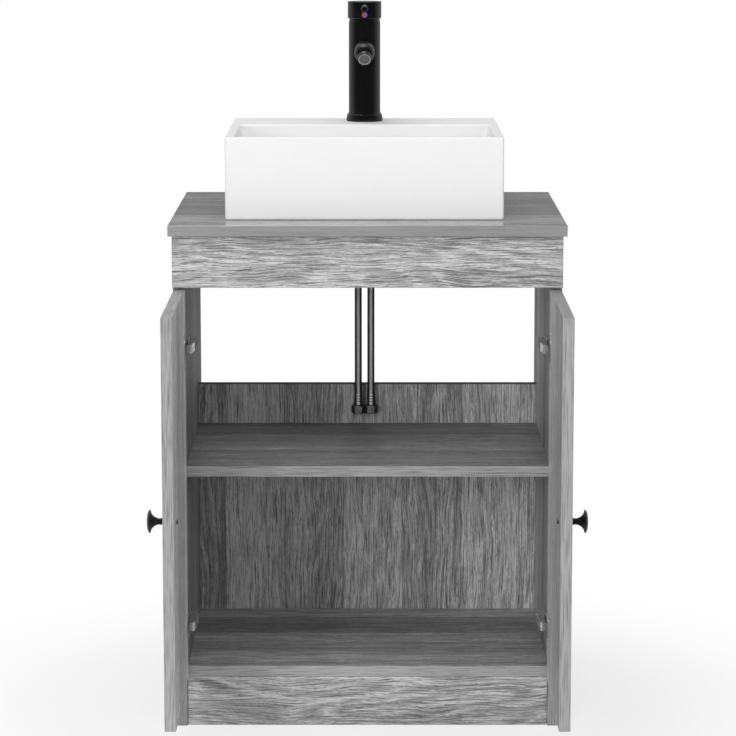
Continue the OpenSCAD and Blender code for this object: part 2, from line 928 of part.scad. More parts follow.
// The tap's body: flared base, straight column and a round shoulder under the handle
module tap_body() {
    shoulder_a = acos(dome_open_d / 2 / tap_r);
    z1 = rim_z - pivot_z + gasket_t;
    color(black) at_tap() difference() {
        translate([0, 0, pivot_z]) rotate_extrude($fn = 96) polygon(concat(
            [[0, z1], [base_d / 2, z1], [base_d / 2, z1 + 2.5], [base_d / 2 - 1.5, z1 + 8.5]],
            [for (a = [0 : 18 : 90]) [
                tap_r + 0.3 + (base_d / 2 - 1.7 - tap_r) * (1 - sin(a)) * 0.9,
                z1 + base_h - 3 + 3 * (1 - cos(a))
            ]],
            [[tap_r, z1 + base_h + 0.5]],
            [for (a = [0 : shoulder_a / 8 : shoulder_a + 0.01]) [tap_r * cos(a), tap_r * sin(a)]],
            [[0, tap_r * sin(shoulder_a)]]
        ));
        translate([0, 0, pivot_z - cart_h + cart_top])
            cylinder(d = cart_d + 4 * fit, h = cart_h + ring_h + 0.5);
        translate([0, 0, pivot_z]) cylinder(d = dome_open_d, h = tap_r + eps);
        for (side = [-1, 1])
            rod_z([side * hose_pitch / 2, 0, tap_z0 - eps], tail_pin_d + 2 * fit, tail_in + 4);
        rod_z([0, stud_off, tap_z0 - eps], stud_d + 2 * fit, stud_up + eps);
        translate([0, -tap_r - eps, rim_z + spout_h]) rotate([-90, 0, 0])
            cylinder(d = spigot_d + 2 * fit, h = spigot_l + eps + 1);
        translate([0, -tap_r - eps, rim_z + spout_h]) rotate([-90, 0, 0])
            cylinder(d = water_d, h = tap_r + eps);
    }
}

// The spout: a straight round arm with a ball end and a nozzle that tips down
module tap_spout() {
    color(black) at_tap() translate([0, 0, rim_z + spout_h]) difference() {
        union() {
            difference() {
                translate([0, -spout_reach, 0]) rotate([-90, 0, 0]) rotate_extrude() polygon(concat(
                    [for (a = [0 : 10 : 90]) [spout_r * sin(a), -spout_r * cos(a)]],
                    [[spout_r, spout_reach - tap_r + 4], [0, spout_reach - tap_r + 4]]
                ));
                translate([0, 0, -spout_d]) cylinder(r = tap_r + fit, h = 2 * spout_d);
            }
            rod_y([0, -tap_r - 1.5, 0], spigot_d, spigot_l + 1);
            translate([0, -spout_reach, 0]) rotate([90 + nozzle_tip, 0, 0])
                cylinder(r = nozzle_r, h = nozzle_l);
        }
        rod_y([0, -spout_reach - 4, 0], water_d, spout_reach);
        translate([0, -spout_reach, 0]) rotate([90 + nozzle_tip, 0, 0]) {
            cylinder(d = nozzle_bore_d, h = nozzle_l + eps);
            translate([0, 0, nozzle_l - aerator_l])
                cylinder(d = aerator_d + 2 * fit, h = aerator_l + eps);
        }
    }
}

// Places a piece on the nozzle's axis, with Z outwards from the ball's middle
module at_nozzle() {
    at_tap() translate([0, -spout_reach, rim_z + spout_h]) rotate([90 + nozzle_tip, 0, 0])
        children();
}

module aerator_ring() {
    color(zinc) at_nozzle() translate([0, 0, nozzle_l - aerator_l]) difference() {
        cylinder(d = aerator_d, h = aerator_l + 0.4);
        translate([0, 0, -eps]) cylinder(d = aerator_d - 2 * aerator_wall, h = aerator_l + 3);
    }
}

module aerator_mesh() {
    color("gray") at_nozzle() translate([0, 0, nozzle_l - 1 - mesh_t])
        cylinder(d = aerator_d - 2 * aerator_wall - 2 * fit, h = mesh_t);
}

// The handle's cap: a round skirt that tips over the body's shoulder
module handle_cap() {
    low = pivot_z + cap_low;
    inner_r = tap_r + dome_gap;
    skirt_r = sqrt(inner_r * inner_r - cap_low * cap_low) + 0.7;
    color(black) at_tap() difference() {
        translate([0, 0, low]) rotate_extrude($fn = 96) polygon([
            [0, 0], [skirt_r, 0], [cap_r, cap_chamfer], [cap_r, cap_top - low - 1],
            [cap_r - 0.3, cap_top - low - 0.3], [cap_r - 1, cap_top - low], [0, cap_top - low]
        ]);
        translate([0, 0, pivot_z]) sphere(r = inner_r, $fn = 96);
        translate([-spindle_a / 2 - fit, -spindle_a / 2 - fit, pivot_z])
            cube([spindle_a + 2 * fit, spindle_a + 2 * fit, spindle_top + fit]);
        rod_y([0, -cap_r - eps, pivot_z + lever_h], 6 + 2 * fit, 9 + eps);
        rod_y([0, -cap_r - eps, pivot_z + dot_h], 2 * dot_r + 2 * fit, dot_t + 1.3 + eps);
    }
}

// The pin lever, a taper with a round tip, with a spigot in the cap
module handle_lever() {
    color(black) at_tap() translate([0, -cap_r, pivot_z + lever_h]) {
        difference() {
            translate([0, 1, 0]) rotate([90, 0, 0]) rotate_extrude() polygon(concat(
                [[0, 0], [lever_r, 0]],
                [for (a = [0 : 15 : 90]) [
                    lever_tip_r - 1.5 + 1.5 * cos(a), lever_l - 0.5 + 1.5 * sin(a)
                ]],
                [[0, lever_l + 1]]
            ));
            translate([0, cap_r, -20]) cylinder(r = cap_r + fit, h = 40, $fn = 96);
        }
        rod_y([0, -1, 0], 6, 9);
    }
}

// The hot and cold mark: a small round plug in the cap
module temperature_dot() {
    color("firebrick") at_tap() rod_y([0, -cap_r - 0.1, pivot_z + dot_h], 2 * dot_r, dot_t + 1);
}

// The ceramic disc cartridge's housing
module cartridge() {
    color("lightgray") at_tap() translate([0, 0, pivot_z]) difference() {
        translate([0, 0, cart_top - cart_h]) cylinder(d = cart_d, h = cart_h);
        translate([0, 0, -collar_low - run_gap])
            cylinder(d = collar_d + 4 * fit, h = collar_low + cart_top + 2);
    }
}

// The threaded ring that holds the cartridge down
module cartridge_ring() {
    color(zinc) at_tap() translate([0, 0, pivot_z + cart_top]) difference() {
        cylinder(d = cart_d, h = ring_h);
        translate([0, 0, -eps]) cylinder(d = collar_d + 1, h = ring_h + 2 * eps);
    }
}

// The collar that turns with the handle and carries the spindle's pin
module cartridge_collar() {
    color("darkorange") at_tap() translate([0, 0, pivot_z]) difference() {
        translate([0, 0, -collar_low]) cylinder(d = collar_d, h = collar_low + cart_top - 1);
        translate([-tongue_w / 2 - run_gap, -collar_d, -tongue_d / 2 - 1])
            cube([tongue_w + 2 * run_gap, 2 * collar_d, 30]);
        rod_x([-collar_d, 0, 0], spindle_pin_d + 2 * fit, 2 * collar_d);
        translate([-spindle_a / 2 - 1, -collar_d, 2.5]) cube([spindle_a + 2, 2 * collar_d, 20]);
    }
}

// The spindle: a tongue on a cross pin, and a square stem into the cap
module cartridge_spindle() {
    stem_z = tongue_d / 2;
    color(zinc) at_tap() translate([0, 0, pivot_z]) {
        rod_x([-tongue_w / 2, 0, 0], tongue_d, tongue_w);
        rod_x([-collar_d / 2 + 1, 0, 0], spindle_pin_d, collar_d - 2);
        translate([-tongue_w / 2, -spindle_a / 2, 0]) cube([tongue_w, spindle_a, stem_z + 1]);
        translate([-spindle_a / 2, -spindle_a / 2, stem_z])
            cube([spindle_a, spindle_a, spindle_top - stem_z]);
    }
}

module tap_gasket() {
    color("dimgray") at_tap() translate([0, 0, rim_z]) difference() {
        cylinder(d = base_d - 3, h = gasket_t);
        translate([0, 0, -eps]) cylinder(d = tap_hole_d + 1, h = gasket_t + 2 * eps);
    }
}

module tap_stud() {
    color(zinc) at_tap() rod_z([0, stud_off, tap_z0 - stud_down], stud_d, stud_down + stud_up - 1);
}

// The horseshoe washer that bears on the ledge's underside, open for the hoses
module tap_washer() {
    color(zinc) at_tap() translate([0, 0, rim_z - ledge_t - washer_t]) difference() {
        cylinder(d = washer_d, h = washer_t);
        translate([-slot_w / 2, -washer_d, -eps])
            cube([slot_w, washer_d + ferrule_d / 2 + 0.5, washer_t + 2 * eps]);
        rod_z([0, stud_off, -eps], stud_d + 2 * fit, washer_t + 2 * eps);
    }
}

module tap_nut() {
    color(zinc) at_tap()
        translate([0, stud_off, rim_z - ledge_t - washer_t - tap_nut_h]) difference() {
            cylinder(d = tap_nut_af / cos(30), h = tap_nut_h, $fn = 6);
            translate([0, 0, -eps]) cylinder(d = stud_d + 2 * fit, h = tap_nut_h + 2 * eps);
        }
}

// Points of one ring of the hose's skin
function hose_ring(p) = [
    for (i = [0 : hose_sides - 1])
        p + [hose_d / 2 * cos(360 * i / hose_sides), hose_d / 2 * sin(360 * i / hose_sides), 0]
];

// One hose, swept down its route with a ring at each point
module hose() {
    n = len(hose_route);
    k = hose_sides;
    polyhedron(
        points = [for (p = hose_route) each hose_ring(p)],
        faces = concat(
            [[for (i = [0 : k - 1]) i]],
            [for (j = [0 : n - 2], i = [0 : k - 1]) each [
                [j * k + i, (j + 1) * k + i, (j + 1) * k + (i + 1) % k],
                [j * k + i, (j + 1) * k + (i + 1) % k, j * k + (i + 1) % k]
            ]],
            [[for (i = [k - 1 : -1 : 0]) (n - 1) * k + i]]
        )
    );
}

module hot_hose() {
    color(steel) at_tap() translate([-hose_pitch / 2, 0, 0]) hose();
}

module cold_hose() {
    color(steel) at_tap() translate([hose_pitch / 2, 0, 0]) hose();
}

// The crimped ends: one screwed into the tap, one holding the swivel nut
module hose_ferrules() {
    top_low = hose_route[0][2];
    low_top = hose_route[len(hose_route) - 1][2];
    color(zinc) at_tap() for (side = [-1, 1]) translate([side * hose_pitch / 2, 0, 0]) {
        translate([0, 0, top_low]) cylinder(d = ferrule_d, h = ferrule_top_z - top_low);
        translate([0, 0, ferrule_top_z - 1]) cylinder(d = tail_pin_d, h = tail_in + 1);
        translate([0, 0, hose_nut_z + nut_h + run_gap])
            cylinder(d = ferrule_d, h = low_top - hose_nut_z - nut_h - run_gap);
        translate([0, 0, hose_nut_z + nut_deep - 1]) cylinder(d = 9, h = nut_h);
        translate([0, 0, hose_nut_z + nut_deep - 2.2])
            cylinder(d = nut_bore - 1.2, h = 2.2 - run_gap);
    }
}

// The swivel nuts, threaded from below
module hose_nuts() {
    color(zinc) at_tap() for (side = [-1, 1])
        translate([side * hose_pitch / 2, 0, hose_nut_z]) difference() {
            rotate([0, 0, 30]) cylinder(d = nut_af / cos(30), h = nut_h, $fn = 6);
            translate([0, 0, -eps]) cylinder(d = nut_bore, h = nut_thread_l + eps);
            translate([0, 0, nut_thread_l - 0.5])
                cylinder(d = nut_seat_d, h = nut_deep - nut_thread_l + 0.5);
            translate([0, 0, -eps]) cylinder(d = 9 + 4 * fit, h = nut_h + 2 * eps);
        }
}

left_side();
right_side();
bottom_shelf();
middle_shelf();
back_panel();
kick_board();
rear_rail();
apron();
countertop();
dowels();
cam_bolts();
cam_nuts();
corner_brackets();
bracket_screws();
left_door();
right_door();
left_knob();
right_knob();
left_knob_screw();
right_knob_screw();
left_upper_hinge_cup();
left_lower_hinge_cup();
right_upper_hinge_cup();
right_lower_hinge_cup();
left_upper_hinge_arm();
left_lower_hinge_arm();
right_upper_hinge_arm();
right_lower_hinge_arm();
left_hinge_pins();
right_hinge_pins();
left_hinge_plates();
right_hinge_plates();
left_cup_screws();
right_cup_screws();
plate_screws();
arm_screws();
basin();
waste_body();
waste_plug();
waste_nut();
tap_body();
tap_spout();
aerator_ring();
aerator_mesh();
handle_cap();
handle_lever();
temperature_dot();
cartridge();
cartridge_ring();
cartridge_collar();
cartridge_spindle();
tap_gasket();
tap_stud();
tap_washer();
tap_nut();
hot_hose();
cold_hose();
hose_ferrules();
hose_nuts();
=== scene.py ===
"""Looks of a sink base cabinet: grey oak laminate boards, vessel basin, black mixer tap and hoses.

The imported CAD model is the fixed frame. Boards, hinges and screws keep their CAD shapes and get
finishes. The basin, tap, knobs, plug and hoses are built anew over their CAD solids.
Sizes are in millimetres in this file, and every mesh is made in metres. What a material or the
surroundings measure is in metres.
"""

import functools
import logging
import math
from collections.abc import Callable, Sequence
from dataclasses import KW_ONLY, dataclass, field
from enum import Enum
from typing import ClassVar

import bmesh
import bpy
from mathutils import Matrix, Vector


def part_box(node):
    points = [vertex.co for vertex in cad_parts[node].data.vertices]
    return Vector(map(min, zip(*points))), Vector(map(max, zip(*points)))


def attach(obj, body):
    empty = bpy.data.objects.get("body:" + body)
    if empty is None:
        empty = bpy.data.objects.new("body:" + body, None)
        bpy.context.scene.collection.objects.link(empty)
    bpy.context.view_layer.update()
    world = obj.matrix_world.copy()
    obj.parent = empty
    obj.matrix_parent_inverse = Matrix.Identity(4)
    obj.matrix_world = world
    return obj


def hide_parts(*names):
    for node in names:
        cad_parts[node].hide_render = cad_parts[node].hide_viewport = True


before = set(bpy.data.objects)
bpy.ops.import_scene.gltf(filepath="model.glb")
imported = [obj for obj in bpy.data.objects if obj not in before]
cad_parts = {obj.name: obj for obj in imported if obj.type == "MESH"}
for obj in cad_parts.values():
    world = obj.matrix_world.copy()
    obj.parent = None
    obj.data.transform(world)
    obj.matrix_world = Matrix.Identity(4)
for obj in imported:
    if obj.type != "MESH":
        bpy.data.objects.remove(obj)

LOG = logging.getLogger("cabinet")
MM = 0.001
ROUND = 96
SMALL_ROUND = 48
ON_AXIS = 1e-6
PLANK_WIDTH = 0.094
BRAID_STRANDS = 12.0
STRAND_WIRES = 4.0
GRAIN_DEPTH = 0.0004
FILM_DEPTH = 0.00003
# The real shine of metals whose highlight is painted into the colour.
MUTED_SHINE = 0.12

Socket = bpy.types.NodeSocket
Triple = tuple[float, float, float]
Colour = Triple
Profile = list[tuple[float, float]]
Feed = Socket | float | tuple[float, ...]
Feeds = dict[str, Feed]
Sockets = dict[str, Socket]
Node = bpy.types.Node
Object = bpy.types.Object
BMesh = bmesh.types.BMesh


class Axis(Enum):
    """A row axis."""

    X = 0
    Y = 1
    Z = 2


class Lie(Enum):
    """How a board lies: the row axes of its grain, its width and its thickness."""

    FLAT = (Axis.X, Axis.Y, Axis.Z)
    RAIL = (Axis.X, Axis.Z, Axis.Y)
    SIDE = (Axis.Z, Axis.Y, Axis.X)
    BACK = (Axis.Z, Axis.X, Axis.Y)


class Mix(Enum):
    """What a Mix node mixes: its data type and the numbers of both inputs and the output."""

    NUMBER = ("FLOAT", 2, 3, 0)
    VECTOR = ("VECTOR", 4, 5, 1)
    COLOUR = ("RGBA", 6, 7, 2)


@dataclass
class Graph:
    """Adds nodes to one node tree and links them."""

    tree: bpy.types.NodeTree

    @classmethod
    def empty(cls, owner: bpy.types.Material | bpy.types.World) -> "Graph":
        """Empties the node tree of a material or a world.

        Args:
            owner: The material or world.

        Returns:
            The tree's graph.
        """
        owner.use_nodes = True
        owner.node_tree.nodes.clear()
        return cls(owner.node_tree)

    def add(
        self, kind: str, inputs: dict[str | int, Feed] | None = None, **settings: object
    ) -> Node:
        """Adds a node.

        Args:
            kind: The node's type name.
            inputs: What goes into its sockets, by name or number: a socket to link or a value.
            **settings: Attributes of the node.

        Returns:
            The new node.
        """
        node = self.tree.nodes.new(kind)
        for name, value in settings.items():
            setattr(node, name, value)
        for key, value in (inputs or {}).items():
            if isinstance(value, Socket):
                self.tree.links.new(value, node.inputs[key])
            else:
                node.inputs[key].default_value = value
        return node

    def calc(self, operation: str, *values: Feed, clamp: bool = False) -> Socket:
        """Returns the socket of one Math sum, held between 0 and 1 if it is clamped."""
        inputs = dict(enumerate(values))
        return self.add("ShaderNodeMath", inputs, operation=operation, use_clamp=clamp).outputs[0]

    def times(self, a: Feed, b: Feed) -> Socket:
        """Returns the socket of a product."""
        return self.calc("MULTIPLY", a, b)

    def total(self, *values: Feed) -> Socket:
        """Returns the socket of the sum of all the numbers."""
        return functools.reduce(functools.partial(self.calc, "ADD"), values)

    def centred(self, value: Socket, gain: float) -> Socket:
        """Returns the socket of a number less 0.5, times a gain."""
        return self.times(self.calc("SUBTRACT", value, 0.5), gain)

    def span(
        self, value: Feed, low: float, high: float, to: tuple[float, float] = (0, 1)
    ) -> Socket:
        """Returns the socket of a number mapped smoothly from low and high to another range."""
        node = self.add(
            "ShaderNodeMapRange",
            {"Value": value, "From Min": low, "From Max": high, "To Min": to[0], "To Max": to[1]},
            interpolation_type="SMOOTHSTEP",
        )
        return node.outputs["Result"]

    def blend(self, share: Feed, a: Feed, b: Feed, kind: Mix = Mix.COLOUR) -> Socket:
        """Returns the socket of two mixed colours, vectors or numbers, with a share of b."""
        mixed, first, second, out = kind.value
        inputs = {0: share, first: a, second: b}
        return self.add("ShaderNodeMix", inputs, data_type=mixed).outputs[out]

    def layer(self, share: Feed, under: Socket, over: Socket) -> Socket:
        """Returns the socket of two mixed shaders, with a share of the second."""
        return self.add("ShaderNodeMixShader", {0: share, 1: under, 2: over}).outputs[0]

    def pack(self, x: Feed, y: Feed, z: Feed) -> Socket:
        """Returns the socket of a vector made of three numbers."""
        return self.add("ShaderNodeCombineXYZ", {0: x, 1: y, 2: z}).outputs[0]

    def split(self, vector: Feed) -> list[Socket]:
        """Returns the sockets of a vector's three numbers."""
        return list(self.add("ShaderNodeSeparateXYZ", {0: vector}).outputs)

    def vector(self, operation: str, a: Feed, b: Feed) -> Socket:
        """Returns the socket of one Vector Math sum on two vectors."""
        return self.add("ShaderNodeVectorMath", {0: a, 1: b}, operation=operation).outputs[0]

    def noise(
        self, vector: Feed, stretch: Triple, detail: float = 2.0, rough: float = 0.5
    ) -> Socket:
        """Returns the socket of smooth noise, with a number of features per metre on each axis."""
        place = self.vector("MULTIPLY", vector, stretch)
        inputs = {"Vector": place, "Scale": 1.0, "Detail": detail, "Roughness": rough}
        return self.add("ShaderNodeTexNoise", inputs).outputs[0]


@dataclass
class Effect:
    """A shader node group with named sockets, built once and placed in many materials.

    Inputs and outputs give each socket's kind: Float, Color or Vector. Build fills the group and
    returns what goes to each output.
    """

    name: str
    inputs: dict[str, str]
    outputs: dict[str, str]
    build: Callable[[Graph, Sockets], Sockets]

    def tree(self) -> bpy.types.NodeTree:
        """Returns the group's node tree, building it at the first call.

        Returns:
            The node tree.
        """
        found = bpy.data.node_groups.get(self.name)
        if found:
            return found
        tree = bpy.data.node_groups.new(self.name, "ShaderNodeTree")
        for way, sockets in (("INPUT", self.inputs), ("OUTPUT", self.outputs)):
            for label, kind in sockets.items():
                tree.interface.new_socket(label, in_out=way, socket_type=f"NodeSocket{kind}")
        graph = Graph(tree)
        enter = graph.add("NodeGroupInput")
        made = self.build(graph, {label: enter.outputs[label] for label in self.inputs})
        graph.add("NodeGroupOutput", made)
        return tree

    def place(self, graph: Graph, inputs: Feeds) -> Sockets:
        """Places the group in a material and returns its outputs by name."""
        node = graph.add("ShaderNodeGroup", inputs, node_tree=self.tree())
        return {label: node.outputs[label] for label in self.outputs}


def build_oak(g: Graph, i: Sockets) -> Sockets:
    """Fills the oak grain group: planks, bands, arches, streaks, fine lines, flecks and pores.

    Args:
        g: The group's graph.
        i: Its inputs. Vector and Normal are turned so that X is the grain, Y the width and Z the
            thickness.

    Returns:
        What goes to each output.
    """
    along, across, through = g.split(i["Vector"])
    normal_along, normal_across, _ = g.split(i["Normal"])
    end = g.calc("GREATER_THAN", g.calc("ABSOLUTE", normal_along), 0.5)
    long_edge = g.calc("GREATER_THAN", g.calc("ABSOLUTE", normal_across), 0.5)
    edge = g.calc("MAXIMUM", end, long_edge)
    face = g.calc("SUBTRACT", 1.0, edge)
    turned = g.blend(end, i["Vector"], g.pack(across, through, along), Mix.VECTOR)
    seed = i["Seed"]
    place = g.vector("ADD", turned, g.pack(g.times(seed, 1.37), g.times(seed, 0.71), seed))
    plain = g.times(face, i["Figure"])
    sway = g.centred(g.noise(place, (2.5, 6.0, 6.0)), 0.035)
    knots = g.times(g.centred(g.noise(place, (9.0, 20.0, 20.0), 1.0), 0.022), i["Figure"])
    bend = g.times(g.total(sway, knots), plain)
    plank = g.calc("DIVIDE", g.total(g.split(place)[1], g.times(bend, 0.25)), PLANK_WIDTH)
    number = {"W": g.calc("FLOOR", plank)}
    chance = g.add("ShaderNodeTexWhiteNoise", number, noise_dimensions="1D").outputs["Value"]
    planks = g.times(face, i["Planks"])
    tone = g.times(g.centred(chance, 0.8), planks)
    seam = g.calc("ABSOLUTE", g.calc("SUBTRACT", g.calc("FRACT", plank), 0.5))
    seam = g.times(g.span(seam, 0.487, 0.5), g.times(planks, 0.35))
    flow = g.vector("ADD", place, g.pack(0.0, bend, 0.0))
    flow = g.vector("ADD", flow, g.pack(g.times(chance, planks), 0.0, 0.0))
    bands = g.noise(flow, (0.9, 34.0, 34.0), 3.0)
    arches = g.calc("SINE", g.times(g.noise(flow, (2.4, 15.0, 15.0), 1.0), 80.0))
    streaks = g.noise(flow, (11.0, 300.0, 300.0), 2.0, 0.6)
    lines = g.noise(flow, (20.0, 950.0, 950.0), 2.0, 0.6)
    fine = g.span(lines, 0.34, 0.54, (-0.5, 0.16))
    fleck = g.noise(flow, (140.0, 640.0, 640.0), 2.0, 0.7)
    gather = g.span(arches, -0.9, 0.6, (0.35, 1.0))
    long_pores = g.span(g.noise(flow, (22.0, 620.0, 620.0), 1.0), 0.61, 0.67)
    short_pores = g.span(g.noise(flow, (70.0, 900.0, 900.0), 1.0), 0.58, 0.68)
    pores = g.calc("MAXIMUM", long_pores, g.times(short_pores, 0.8))
    pores = g.times(g.times(pores, gather), g.span(edge, 0.0, 1.0, (1.0, 0.1)))
    broad = g.total(g.centred(bands, 1.1), g.centred(streaks, 0.34))
    value = g.total(
        0.5,
        g.times(broad, g.span(edge, 0.0, 1.0, (1.0, 0.22))),
        g.times(fine, g.span(edge, 0.0, 1.0, (1.0, 0.3))),
        g.times(g.centred(fleck, 0.85), face),
        g.times(g.times(arches, 0.16), plain),
        tone,
        g.times(seam, -1.0),
        g.times(edge, i["Edge"]),
    )
    # End faces take the pore colour and more roughness: an unfinished board end, which on the back
    # panel also paints in the shade along its top edge.
    raw_and_shaded_end = g.times(end, i["Raw"])
    colour = g.blend(g.span(value, 0.1, 0.5), i["Dark"], i["Mid"])
    colour = g.blend(g.span(value, 0.5, 0.9), colour, i["Light"])
    colour = g.blend(g.times(pores, i["Pores"]), colour, i["Pore"])
    colour = g.blend(raw_and_shaded_end, colour, i["Pore"])
    rough = g.total(
        i["Rough"], g.times(pores, 0.16), g.centred(lines, 0.22), g.times(raw_and_shaded_end, 0.6)
    )
    height = g.total(g.times(lines, 0.35), g.times(pores, -0.65), 0.65)
    return {"Color": colour, "Roughness": rough, "Height": height}


def two_tone(g: Graph, i: Sockets, share: Socket) -> Socket:
    """Returns the socket of a colour from Low to High, by a share that is held to that range."""
    return g.blend(g.calc("MULTIPLY", share, 1.0, clamp=True), i["Low"], i["High"])


def build_mottle(g: Graph, i: Sockets) -> Sockets:
    """Fills the mottle group: the slight unevenness of paint, plastic, glaze or rubber.

    Args:
        g: The group's graph.
        i: Its inputs.

    Returns:
        What goes to each output.
    """
    cloud = g.noise(i["Vector"], (14.0, 14.0, 14.0), 2.0)
    grain = g.add("ShaderNodeTexNoise", {"Vector": i["Vector"], "Scale": i["Scale"], "Detail": 2.0})
    uneven = [g.times(g.centred(part, 2.0), i["Vary"]) for part in (cloud, grain.outputs[0])]
    rough = g.total(i["Rough"], g.centred(cloud, 0.12))
    colour = two_tone(g, i, g.total(0.5, *uneven))
    return {"Color": colour, "Roughness": rough, "Height": grain.outputs[0]}


def build_brushed(g: Graph, i: Sockets) -> Sockets:
    """Fills the brushed group: fine rolling lines and cloudy zinc spangle.

    Args:
        g: The group's graph.
        i: Its inputs.

    Returns:
        What goes to each output.
    """
    lines = g.noise(i["Vector"], (2600.0, 2600.0, 160.0), 2.0, 0.6)
    spangle = g.noise(i["Vector"], (190.0, 190.0, 190.0), 1.0)
    colour = two_tone(g, i, g.total(0.5, g.centred(lines, 1.2), g.centred(spangle, 1.6)))
    rough = g.total(i["Rough"], g.centred(lines, 0.22), g.centred(spangle, 0.18))
    return {"Color": colour, "Roughness": rough, "Height": lines}


def build_braid(g: Graph, i: Sockets) -> Sockets:
    """Fills the braid group: wires that cross over and under round an upright tube.

    Args:
        g: The group's graph.
        i: Its inputs. Centre is the tube's axis.

    Returns:
        What goes to each output.
    """
    x, y, z = g.split(g.vector("SUBTRACT", i["Vector"], i["Centre"]))
    turn = g.times(g.calc("ARCTAN2", y, x), BRAID_STRANDS / (2 * math.pi))
    rise = g.calc("DIVIDE", z, i["Pitch"])
    one, other = g.calc("ADD", turn, rise), g.calc("SUBTRACT", turn, rise)
    ridges = []
    for way in (one, other):
        inside = g.calc("FRACT", g.times(way, STRAND_WIRES))
        ridges.append(g.span(g.calc("ABSOLUTE", g.calc("SUBTRACT", inside, 0.5)), 0.5, 0.1))
    crossing = g.total(g.calc("FLOOR", one), g.calc("FLOOR", other))
    odd = g.calc("ABSOLUTE", g.calc("MODULO", crossing, 2.0))
    wire = g.blend(odd, *ridges, Mix.NUMBER)
    colour = g.blend(wire, i["Low"], i["High"])
    return {"Color": colour, "Roughness": g.span(wire, 0.0, 1.0, (0.55, 0.3)), "Height": wire}


def labelled(kind: str, *names: str) -> dict[str, str]:
    """Returns socket names that are all of one kind."""
    return {name: kind for name in names}


SHADED = labelled("Color", "Color") | labelled("Float", "Roughness", "Height")
TWO_TONES = labelled("Vector", "Vector") | labelled("Color", "Low", "High")
OAK = Effect(
    "Oak grain",
    labelled("Vector", "Vector", "Normal")
    | labelled("Float", "Seed", "Figure", "Planks", "Pores", "Rough", "Raw", "Edge")
    | labelled("Color", "Dark", "Mid", "Light", "Pore"),
    SHADED,
    build_oak,
)
MOTTLE = Effect(
    "Surface mottle",
    TWO_TONES | labelled("Float", "Scale", "Vary", "Rough"),
    SHADED,
    build_mottle,
)
BRUSHED = Effect("Rolled metal", TWO_TONES | labelled("Float", "Rough"), SHADED, build_brushed)
BRAID = Effect(
    "Wire braid",
    TWO_TONES | labelled("Vector", "Centre") | labelled("Float", "Pitch"),
    SHADED,
    build_braid,
)


def rgba(colour: Colour) -> tuple[float, float, float, float]:
    """Returns a colour with a full alpha."""
    return (*colour, 1.0)


def grey(level: float) -> Colour:
    """Returns a neutral colour of a linear brightness."""
    return (level, level, level)


@dataclass(frozen=True)
class Finish:
    """A finish that is the same on every piece that wears it: one effect on a Principled node.

    Depth is the height of its relief in metres, and relief is the strength.
    """

    effect: ClassVar[Effect]
    name: str
    _: KW_ONLY
    depth: float = FILM_DEPTH
    relief: float = 0.1

    def feeds(self, graph: Graph, coords: Node) -> Feeds:
        """Returns what goes into the effect's inputs, given the material's coordinates."""
        raise NotImplementedError

    def settings(self) -> dict[str, float]:
        """Returns values of the Principled node's other inputs."""
        return {}

    def material(self) -> bpy.types.Material:
        """Returns the finish's material, building it at the first call.

        Returns:
            The material.
        """
        found = bpy.data.materials.get(self.name)
        if found:
            return found
        made = bpy.data.materials.new(self.name)
        graph = Graph.empty(made)
        coords = graph.add("ShaderNodeTexCoord")
        look = self.effect.place(graph, self.feeds(graph, coords))
        relief = {"Height": look["Height"], "Distance": self.depth, "Strength": self.relief}
        bump = graph.add("ShaderNodeBump", relief)
        inputs = {"Base Color": look["Color"], "Roughness": look["Roughness"]}
        inputs |= {"Normal": bump.outputs[0], **self.settings()}
        shader = graph.add("ShaderNodeBsdfPrincipled", inputs)
        graph.add("ShaderNodeOutputMaterial", {"Surface": shader.outputs[0]})
        return made


@dataclass(frozen=True)
class OakLaminate(Finish):
    """Printed oak laminate on one board, with its own stretch of grain and a tone that paints in
    its light and shade.
    """

    effect: ClassVar[Effect] = OAK
    lie: Lie = Lie.FLAT
    _: KW_ONLY
    seed: float = 0.0
    figure: float = 1.0
    pores: float = 0.8
    dark: Colour = grey(0.17)
    mid: Colour = grey(0.40)
    light: Colour = grey(0.65)
    pore: Colour = grey(0.085)
    tone: float = 1.0
    planks: float = 1.0
    rough: float = 0.42
    shine: float = 0.3
    # Darker, rougher end faces: an unfinished board end, partly painted shade.
    raw: float = 0.0
    edge: float = -0.18
    depth: float = GRAIN_DEPTH
    relief: float = 0.35

    def toned(self, colour: Colour) -> tuple[float, float, float, float]:
        """Returns a colour of the print at the board's tone, which paints in the light and shade on
        the board.
        """
        return (*(part * self.tone for part in colour), 1.0)

    def feeds(self, graph: Graph, coords: Node) -> Feeds:
        """Turns the coordinates to the board and gives the print its numbers and colours.

        Args:
            graph: The material's graph.
            coords: Its coordinates.

        Returns:
            What goes into the oak grain.
        """
        given: Feeds = {}
        for label, source in (("Vector", "Object"), ("Normal", "Normal")):
            parts = graph.split(coords.outputs[source])
            given[label] = graph.pack(*(parts[axis.value] for axis in self.lie.value))
        for label in ("Seed", "Figure", "Planks", "Pores", "Rough", "Raw", "Edge"):
            given[label] = getattr(self, label.lower())
        for label in ("Dark", "Mid", "Light", "Pore"):
            given[label] = self.toned(getattr(self, label.lower()))
        return given

    def settings(self) -> dict[str, float]:
        """Returns how much the laminate shines."""
        return {"Specular IOR Level": self.shine}


